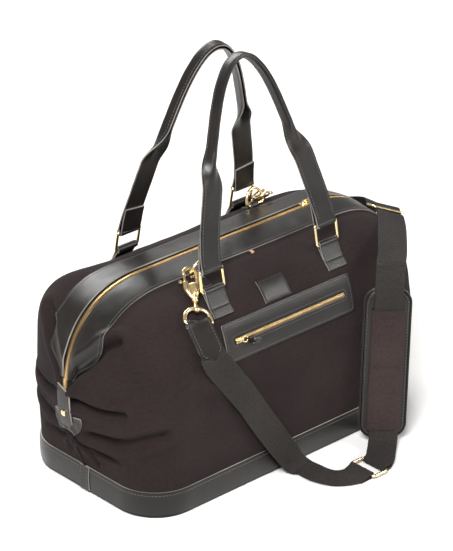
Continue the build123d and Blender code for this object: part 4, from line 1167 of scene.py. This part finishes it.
# The doubled webbing, with half the distance between its layers: before the pad, along it, after it.
DOUBLE_WEB = [((75, -208.6, 5.6), (0.03, -1, 0), 3.1), ((86, -202, 5.6), (0.4, -0.9, 0), 2.5),
              ((98, -192, 5.2), (0.6, -0.8, 0), 1.8), ((111, -181, 7.5), (0.72, -0.68, 0), LAYER),
              ((118, -175.4, 16.5), (0.78, -0.63, -0.04), LAYER)]
PAD_RUN = (20, 30, 100, 170, 232, 242)
UPPER_WEB = [((165, -138, 254), (0.80, -0.6, -0.05), LAYER),
             ((195, -108, 258), (0.83, -0.55, -0.1), LAYER), ((224, -78, 255.5), (0.83, -0.52, -0.2), 2.0)]
# Distances along the slider and off its plane of the webbing over and under it.
OVER_SLIDER = [(-22, -3.6), (-13, -3.4), (0, 5.0), (13, -3.2), (22, 0.5)]
UNDER_SLIDER = [(-9, -4.4), (-22, -6.6)]
END_WEB = [((272, 0, 244), (0.75, -0.4, -0.5)), ((276, 34, 226), (0.5, -0.2, -0.84)),
           ((266, 72, 211), (0.25, -0.1, -0.96)), ((244, 104, 202), (0.1, 0, -0.99)),
           ((216, 122, 197), (0, 0, -1)), ((192, 128, 201), (-0.1, 0.1, -0.9))]


def wrap_round(x, angles):
    flat = (0.0, -1.0, 0.0) if x == LINK_RIGHT else (0.0, 1.0, 0.0)
    return [((x + WRAP * cos(radians(a)), LINK_Y, LINK_Z + WRAP * sin(radians(a))), flat) for a in angles]


def web_layers(rows):
    front, rear = [], []
    places = [np.array(row[0], float) for row in rows]
    for k, (place, across, half) in enumerate(rows):
        run = places[min(k + 1, len(rows) - 1)] - places[max(k - 1, 0)]
        face = unit(np.cross(across, run))
        front.append((np.array(place) + face * half, across))
        rear.append((np.array(place) - face * half, across))
    return front, rear


# The webbing's ribs: pitch, half width of their two columns, height.
RIB_RUN, COLUMN, RIB = 2.3, 18.0, 0.2
GROOVE, GROOVE_HALF = 0.25, 0.9
# Between the points of its mesh, and its width where a tab grips it.
WEB_STEP, WEB_NARROW = 0.9, 0.74


def ribs(along, across):
    """Cross ribs of the webbing, slanting one way and the other in two columns."""
    slant = along + 3.0 * np.abs(np.abs(across) / COLUMN * 2 - 0.5)
    groove = GROOVE * np.exp(-(across / GROOVE_HALF) ** 2)
    edge = 1 - smooth((np.abs(across) - WEB_WIDTH / 2 + 3.0) / 1.5)
    return (RIB * np.sin(slant * 2 * pi / RIB_RUN) - groove) * edge


def webbing(name, rows, gripped):
    """A length of webbing through its stations.  A tab grips it at its start or its end."""
    path, widths = stations(rows, 12)
    along = lengths_along(path, 0)
    even = np.linspace(0, along[-1], int(along[-1] / WEB_STEP))
    path = at_distance(even, along, path)
    _, across, face = turning(path, at_distance(even, along, widths))
    r = WEB_THICK / 2
    half = WEB_WIDTH / 2 - r
    flat = np.linspace(-half, half, 29)
    cap = [(half + r * cos(a), r * sin(a)) for a in np.radians([45, 0, -45])]
    section = np.array([(x, r) for x in flat] + cap + [(x, -r) for x in flat[::-1]]
                       + [(-x, -y) for x, y in cap])
    n, m = len(path), len(section)
    x, y = (np.broadcast_to(section[:, k], (n, m)) for k in (0, 1))
    length = lengths_along(path, 0)[:, None]
    y = y + ribs(length, x) * np.sign(y)
    from_end = even if gripped == "start" else even[-1] - even
    x = x * (WEB_NARROW + (1 - WEB_NARROW) * smooth((from_end - 8) / 40))[:, None]
    verts = path[:, None] + across[:, None] * x[..., None] + face[:, None] * y[..., None]
    girth = np.concatenate([[0], np.cumsum(np.linalg.norm(np.diff(section, axis=0), axis=1))])
    uvs = np.stack(np.broadcast_arrays(girth[None, :], length), -1).reshape(-1, 2)
    band = make_object(name, verts.reshape(-1, 3), ring_faces(0, n, m), [WEBBING], uvs=uvs)
    return settle(recalculate(band), "root", name, slot="webbing")


def build_webbing():
    across = bar_direction(FRONT_TURN)
    rows = tab_stations(EYE_BAR, across, FRONT_DOWN, (15, 30, 45, 56)) + FRONT_WEB
    rows += [((28, LINK_Y, 4.2), (0.0, 1.0, 0.0))] + wrap_round(LINK_LEFT, (90, 30, -30, -90))
    rows.append(((26, LINK_Y, 1.4), (0.0, 1.0, 0.0)))
    webbing("webbing_front", rows, "start")
    straight = [(PAD_FOOT + PAD_ALONG * d, PAD_ACROSS, LAYER) for d in PAD_RUN]
    front, rear = web_layers(DOUBLE_WEB + straight + UPPER_WEB)
    face = unit(np.cross(SLIDER_ACROSS, SLIDER_ALONG))
    bar = wrap_round(LINK_RIGHT, (90, 150, 210, 270))
    sewn = [(SLIDER_AT + (SLIDER_ALONG * cos(radians(a)) + face * sin(radians(a))) * WRAP, SLIDER_ACROSS)
            for a in (60, 0, -60)]
    near = [(SLIDER_AT + SLIDER_ALONG * d + face * h, SLIDER_ACROSS) for d, h in UNDER_SLIDER]
    over = [(SLIDER_AT + SLIDER_ALONG * d + face * h, SLIDER_ACROSS) for d, h in OVER_SLIDER]
    back = tab_stations(turned(EYE_BAR), turned(bar_direction(BACK_TURN)), BACK_DOWN, (56, 45, 30, 15))
    route = sewn + near + rear[::-1] + bar[::-1] + front + over + END_WEB + back
    webbing("webbing_adjust", route, "end")


# ---- snap hooks -----------------------------------------------------------------------------
EYE_HALF, EYE_TALL, EYE_WIRE = 17.5, 22.0, 2.8
CROOK_RADIUS, CROOK_WIRE, BOLT_X, NECK_Y = 8.9, 2.7, -8.6, -41.0


def in_hook(points, across, up):
    """Points of the hook's own plane, or a little off it, in the bag's frame."""
    points = np.asarray(points, float)
    if points.shape[1] == 2:
        points = np.column_stack([points, np.zeros(len(points))])
    return CROOK + points[:, :1] * across + points[:, 1:2] * up + points[:, 2:] * np.cross(across, up)


def hook_pieces(across, up):
    crook = [(CROOK_RADIUS * cos(a), CROOK_RADIUS * sin(a)) for a in np.radians(np.linspace(196, 0, 15))]
    shank = [(9.0, -6), (8.4, -13), (6.6, -21), (3.6, -30), (1.0, -37), (0, NECK_Y)]
    spine = catmull(crook + shank, 4)
    sizes = np.interp(np.linspace(0, 1, len(spine)), [0, 0.1, 0.5, 0.72, 0.86, 1],
                      [1.7, CROOK_WIRE, 2.6, 3.4, 3.9, 4.0])
    rows = [tube("row", in_hook(spine, across, up), sizes, BRASS, sides=18)]
    barrel = catmull([(BOLT_X, -12.4), (BOLT_X, -18), (BOLT_X + 0.4, -25), (-5.2, -31), (-2.0, -36),
                      (0, -39)], 5)
    sizes = np.interp(np.linspace(0, 1, len(barrel)), [0, 0.04, 0.4, 0.7, 1], [3.0, 3.9, 3.9, 3.5, 3.6])
    rows.append(tube("row", in_hook(barrel, across, up), sizes, BRASS, sides=18))
    web = catmull([(0.6, -12.0), (0.2, -20), (-0.4, -28), (-0.3, -36)], 5)
    sizes = np.interp(np.linspace(0, 1, len(web)), [0, 0.15, 0.6, 1], [2.0, 7.0, 5.6, 2.4])
    rows.append(tube("row", in_hook(web, across, up), sizes, BRASS, sides=24, squash=0.36))
    collar = np.column_stack([np.zeros(9), np.linspace(NECK_Y + 5, NECK_Y - 1.5, 9)])
    sizes = [3.6, 4.3, 4.7, 4.6, 3.9, 3.9, 4.6, 4.5, 3.6]
    rows.append(tube("row", in_hook(collar, across, up), sizes, BRASS, sides=20))
    return rows


def eye_pieces(across, up):
    bar_y = -np.linalg.norm(EYE_BAR - CROOK)
    turn = np.linspace(0, 2 * pi, 72, endpoint=False)
    c, q = np.cos(turn), np.sin(turn)
    x = EYE_HALF * np.sign(c) * np.abs(c) ** 0.7
    y = bar_y + 3 + np.where(q > 0, (EYE_TALL - 3) * q, 3 * q)
    rows = [tube("row", in_hook(np.stack([x, y], -1), across, up), EYE_WIRE, BRASS, closed=True)]
    stem = np.column_stack([np.zeros(8), np.linspace(NECK_Y - 1.8, bar_y + EYE_TALL - 5, 8)])
    sizes = [2.4, 2.4, 2.6, 3.6, 3.8, 4.6, 4.3, 2.2]
    rows.append(tube("row", in_hook(stem, across, up), sizes, BRASS, sides=18))
    return rows


def build_hooks():
    across, up, _ = hook_axes()
    for name, turn, spin in (("front", FRONT_TURN, 1), ("back", BACK_TURN, -1)):
        hook = join("hook_" + name, hook_pieces(across, up))
        eye = join("hook_eye_" + name, eye_pieces(bar_direction(turn), up))
        for obj, body, node in ((hook, "hook_" + name, "hook_" + name), (eye, "root", "hook_eye_" + name)):
            if spin < 0:
                obj.rotation_euler = (0, 0, pi)
            settle(obj, body, node, slot="brass")


# ---- shoulder pad ------------------------------------------------------------------------------------
PAD_LENGTH, PAD_WIDTH, PAD_CORNER, SPINE_END = 206.0, 62.0, 20.0, 26.0
# The sleeve's ends along the pad, half its width, half its depth, and its inner face's share of them.
SLEEVE_RUN, SLEEVE_HALF, SLEEVE_DEEP, SLEEVE_INNER = (14, 178), 22.2, 4.3, (0.955, 0.72)


def on_pad(across, along, out):
    across, along, out = arrays(across, along, out)
    return (PAD_FOOT + PAD_ACROSS * across[..., None] + PAD_ALONG * along[..., None]
            + PAD_OUT * out[..., None])


def pad_loop(inset):
    half, corner = PAD_WIDTH / 2 - inset, PAD_CORNER - inset
    return rounded_loop(-half, half, inset, PAD_LENGTH - inset, max(corner, 2), 10, 14)


def pad_cushion(name, inset, base, top, crown, materials, rings=9):
    """A plate with a crowned face: rings of the outline shrinking to a middle line."""
    outer = pad_loop(inset)
    spine = np.stack([0 * outer[:, 0], np.clip(outer[:, 1], SPINE_END, PAD_LENGTH - SPINE_END)], -1)
    share = np.linspace(0, 1, rings)[None, :, None]
    flat = outer[:, None] * (1 - share) + spine[:, None] * share
    rise = (1 - (1 - share[..., 0]) ** 2.4) ** 0.55
    dents = 0.25 * ripple(on_pad(flat[..., 0], flat[..., 1], 0.0), 31, 40.0) * rise
    high_face = on_pad(flat[..., 0], flat[..., 1], top + crown * rise + dents)
    low_face = on_pad(flat[..., 0], flat[..., 1], base + 0 * rise)
    return slab(name, high_face, low_face, materials, closed=True)


def tuck(d, middle, half):
    return np.exp(-((d - middle) / half) ** 2)


def sleeve_faces():
    """Outer and inner face of the sleeve: rows round the pad, along its length, with three tucks."""
    angles = np.linspace(0, 2 * pi, 56, endpoint=False)
    d = np.linspace(*SLEEVE_RUN, 90)[:, None]
    bow = 0.9 * np.sin((d - SLEEVE_RUN[0]) / (SLEEVE_RUN[1] - SLEEVE_RUN[0]) * pi)
    tucks = -1.5 * tuck(d, 96 + 3 * np.sin(angles)[None], 4.5)
    tucks = tucks - 0.6 * tuck(d, 62, 5.0) - 0.7 * tuck(d, 168, 6.0)
    c, s = np.cos(angles)[None], np.sin(angles)[None]
    x = (SLEEVE_HALF + 0.6 * bow + 0.4 * tucks) * np.sign(c) * np.abs(c) ** 0.55
    y = (SLEEVE_DEEP + bow + tucks) * np.sign(s) * np.abs(s) ** 0.7
    return [np.swapaxes(on_pad(x * wide, d, y * deep), 0, 1) for wide, deep in ((1, 1), SLEEVE_INNER)]


def build_pad():
    backing = pad_cushion("pad_backing", -0.5, -12.2, -10.4, 0.0, [SOFT_LEATHER, EDGE])
    settle(backing, "shoulder_pad", "pad_backing", slot="leather")
    cushion = pad_cushion("pad_foam", 2.4, -10.2, -7.6, 2.9, [LEATHER, LEATHER])
    settle(cushion, "shoulder_pad", "pad_foam", slot="leather")
    loop = pad_loop(0.6)
    piping = tube("pad_piping", on_pad(loop[:, 0], loop[:, 1], -8.4), 1.4, LEATHER, closed=True, sides=12)
    settle(piping, "shoulder_pad", "pad_piping", slot="leather")
    loop = pad_loop(4.4)
    closed = np.vstack([loop, loop[:1]])
    path = on_pad(closed[:, 0], closed[:, 1], -6.2)
    row = stitches("pad_stitches", path, np.tile(PAD_OUT, (len(path), 1)), sink=-0.1)
    settle(row, "shoulder_pad", slot="tape")
    # The sleeve's lighter canvas paints in its sheen.
    sleeve = slab("pad_sleeve", *sleeve_faces(), [SHEEN_PAINTED_SLEEVE, DARK_EDGE], closed=True)
    settle(sleeve, "shoulder_pad", "pad_sleeve", slot="canvas")


# ---- tails over the ends of the zip ------------------------------------------------------------------
TAIL_LOW, TAIL_HIGH, TAIL_WIDTH, TAIL_LIFT, TAIL_THICK, TAIL_SEAM_Y = 108.0, 166.0, 22.0, 3.2, 2.4, 8.4
ANCHOR_Z, ANCHOR_OUTER, ANCHOR_INNER, ANCHOR_TOP, ANCHOR_UNDER = 122.0, 25.0, 12.5, 2.6, 0.4
RIDGE_Q = np.linspace(0, 0.4, 401)
RIDGE_HEIGHTS = ridge(RIDGE_Q)[:, 2]


def off_ridge(z, y, lift):
    """Points off the left end of the bag, at heights z and places y across it."""
    z, y, lift = arrays(z, y, lift)
    q = np.interp(z, RIDGE_HEIGHTS, RIDGE_Q)
    return ridge(q) + ridge_normal(q) * lift[..., None] + y[..., None] * np.array([0, 1.0, 0])


def build_tails():
    ys = np.linspace(-TAIL_WIDTH / 2, TAIL_WIDTH / 2, 15)[:, None]
    share = np.linspace(0, 1, 30)[None, :]
    bottom = TAIL_LOW + 5 * (np.abs(ys) / (TAIL_WIDTH / 2)) ** 3
    top = TAIL_HIGH - 4 + 4.0 * ys / (TAIL_WIDTH / 2)
    zs = bottom + (top - bottom) * share
    curl = 0.6 * (np.abs(ys) / (TAIL_WIDTH / 2)) ** 2
    for end, flip in (("left", 1), ("right", -1)):
        mirror = np.array([flip, 1, 1])
        plate = slab("zip_tail_" + end, off_ridge(zs, ys, TAIL_LIFT + TAIL_THICK - curl) * mirror,
                     off_ridge(zs, ys, TAIL_LIFT - curl) * mirror, [LEATHER, EDGE])
        settle(plate, "zip_tail_" + end, "zip_tail_" + end, slot="leather")
        line = np.linspace(TAIL_LOW + 6, TAIL_HIGH - 7, 30)
        rows = []
        for y in (-TAIL_SEAM_Y, TAIL_SEAM_Y):
            path = off_ridge(line, y, TAIL_LIFT + TAIL_THICK - 0.3) * mirror
            way = off_ridge(line, y, TAIL_LIFT + TAIL_THICK + 1) * mirror - path
            rows.append(stitches("row", path, way, 4.0, 2.8, 0.36))
        settle(join("tail_stitches_" + end, rows), "zip_tail_" + end, slot="tape")
        build_anchor(end, mirror)


def build_anchor(end, mirror):
    """U-shaped leather anchor sewn round the foot of the tail."""
    turn = np.linspace(-0.08 * pi, 1.08 * pi, 60)
    share = np.linspace(0, 1, 9)[None]
    radius = ANCHOR_OUTER + (ANCHOR_INNER - ANCHOR_OUTER) * share
    ys, zs = radius * np.cos(turn)[:, None], ANCHOR_Z - radius * np.sin(turn)[:, None] * 0.95

    def sunk(extra):
        u = np.interp(zs, RIDGE_HEIGHTS, RIDGE_Q) - 1
        t = from_zip(u, np.abs(ys))
        return np.where((ys < 0)[..., None], firm_skin(u, t, -1, extra), firm_skin(u, t, 1, extra))

    anchor = slab("zip_anchor_" + end, sunk(ANCHOR_TOP) * mirror, sunk(ANCHOR_UNDER) * mirror,
                  [LEATHER, EDGE])
    settle(anchor, "root", "zip_anchors", slot="leather")
    rows = []
    for column in (1, 7):
        path = sunk(ANCHOR_TOP)[2:-2, column] * mirror
        way = sunk(ANCHOR_TOP + 1)[2:-2, column] * mirror - path
        rows.append(stitches("row", path, way, 4.0, 2.8, 0.36))
    settle(join("anchor_stitches_" + end, rows), "root", slot="tape")


# ---- metal and other pieces that keep their CAD shape ---------------------------------------------
CARRIED = {
    BRASS: ["rings_front", "rings_back", "d_ring_front", "d_ring_back", "hook_bolt_front",
            "hook_bolt_back", "strap_slider", "link_ring", "zip_slider", "zip_pull", "pocket_slider",
            "tail_stud_left", "tail_stud_right"],
    SOFT_LEATHER: ["base_panel"],
    FOAM: ["base_board"],
    LINING: ["pocket_bag"],
}


def dress_carried():
    for material, names in CARRIED.items():
        for name in names:
            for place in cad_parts[name].material_slots:
                place.material = material


# ---- studio ----------------------------------------------------------------------------------------
def build_floor():
    bpy.ops.mesh.primitive_plane_add(size=30, location=(0, 0, 0))
    floor = bpy.context.object
    floor.name = "floor"
    floor.data.materials.append(new_material("floor", (0.80, 0.79, 0.78), 0.9, Specular_IOR_Level=0.1)[0])


def area_light(name, place, target, size, power):
    data = bpy.data.lights.new(name, "AREA")
    data.shape, data.size, data.size_y = "RECTANGLE", size[0], size[1]
    data.energy = power
    obj = bpy.data.objects.new(name, data)
    obj.location = place
    obj.rotation_euler = (Vector(target) - Vector(place)).to_track_quat("-Z", "Y").to_euler()
    bpy.context.collection.objects.link(obj)


def build_lights():
    area_light("key", (-1.6, -1.3, 2.3), (0, 0, 0.2), (1.1, 1.1), 130)
    area_light("fill", (1.8, -2.2, 1.6), (0, 0, 0.2), (1.4, 1.0), 44)
    area_light("rim", (0.6, 2.0, 2.0), (0, 0, 0.25), (1.8, 0.9), 60)
    world = bpy.data.worlds.new("studio")
    bpy.context.scene.world = world
    world.use_nodes = True
    background = world.node_tree.nodes["Background"]
    background.inputs["Color"].default_value = (1.0, 0.975, 0.94, 1)
    background.inputs["Strength"].default_value = 0.34


CAMERA_PLACE, CAMERA_BACK = (-2.3605, -2.5658, 1.9718), (-0.6053, -0.6582, 0.4478)


def build_camera():
    data = bpy.data.cameras.new("camera")
    data.sensor_fit, data.sensor_height, data.lens = "VERTICAL", 36.0, 196.0
    data.clip_end = 60
    camera = bpy.data.objects.new("camera", data)
    camera.location = CAMERA_PLACE
    camera.rotation_euler = Vector(CAMERA_BACK).to_track_quat("Z", "Y").to_euler()
    bpy.context.collection.objects.link(camera)
    bpy.context.scene.camera = camera


bpy.context.scene.view_settings.view_transform = "Standard"
build_floor()
build_lights()
build_camera()
dress_carried()
build_canvas()
build_zip()
build_lower_zip()
build_end_seams()
build_base()
build_pocket()
build_patch()
build_handles()
build_ring_tabs()
build_keepers()
build_hooks()
build_strap_tabs()
build_webbing()
build_pocket_puller()
build_seam_tag()
build_pad()
build_tails()
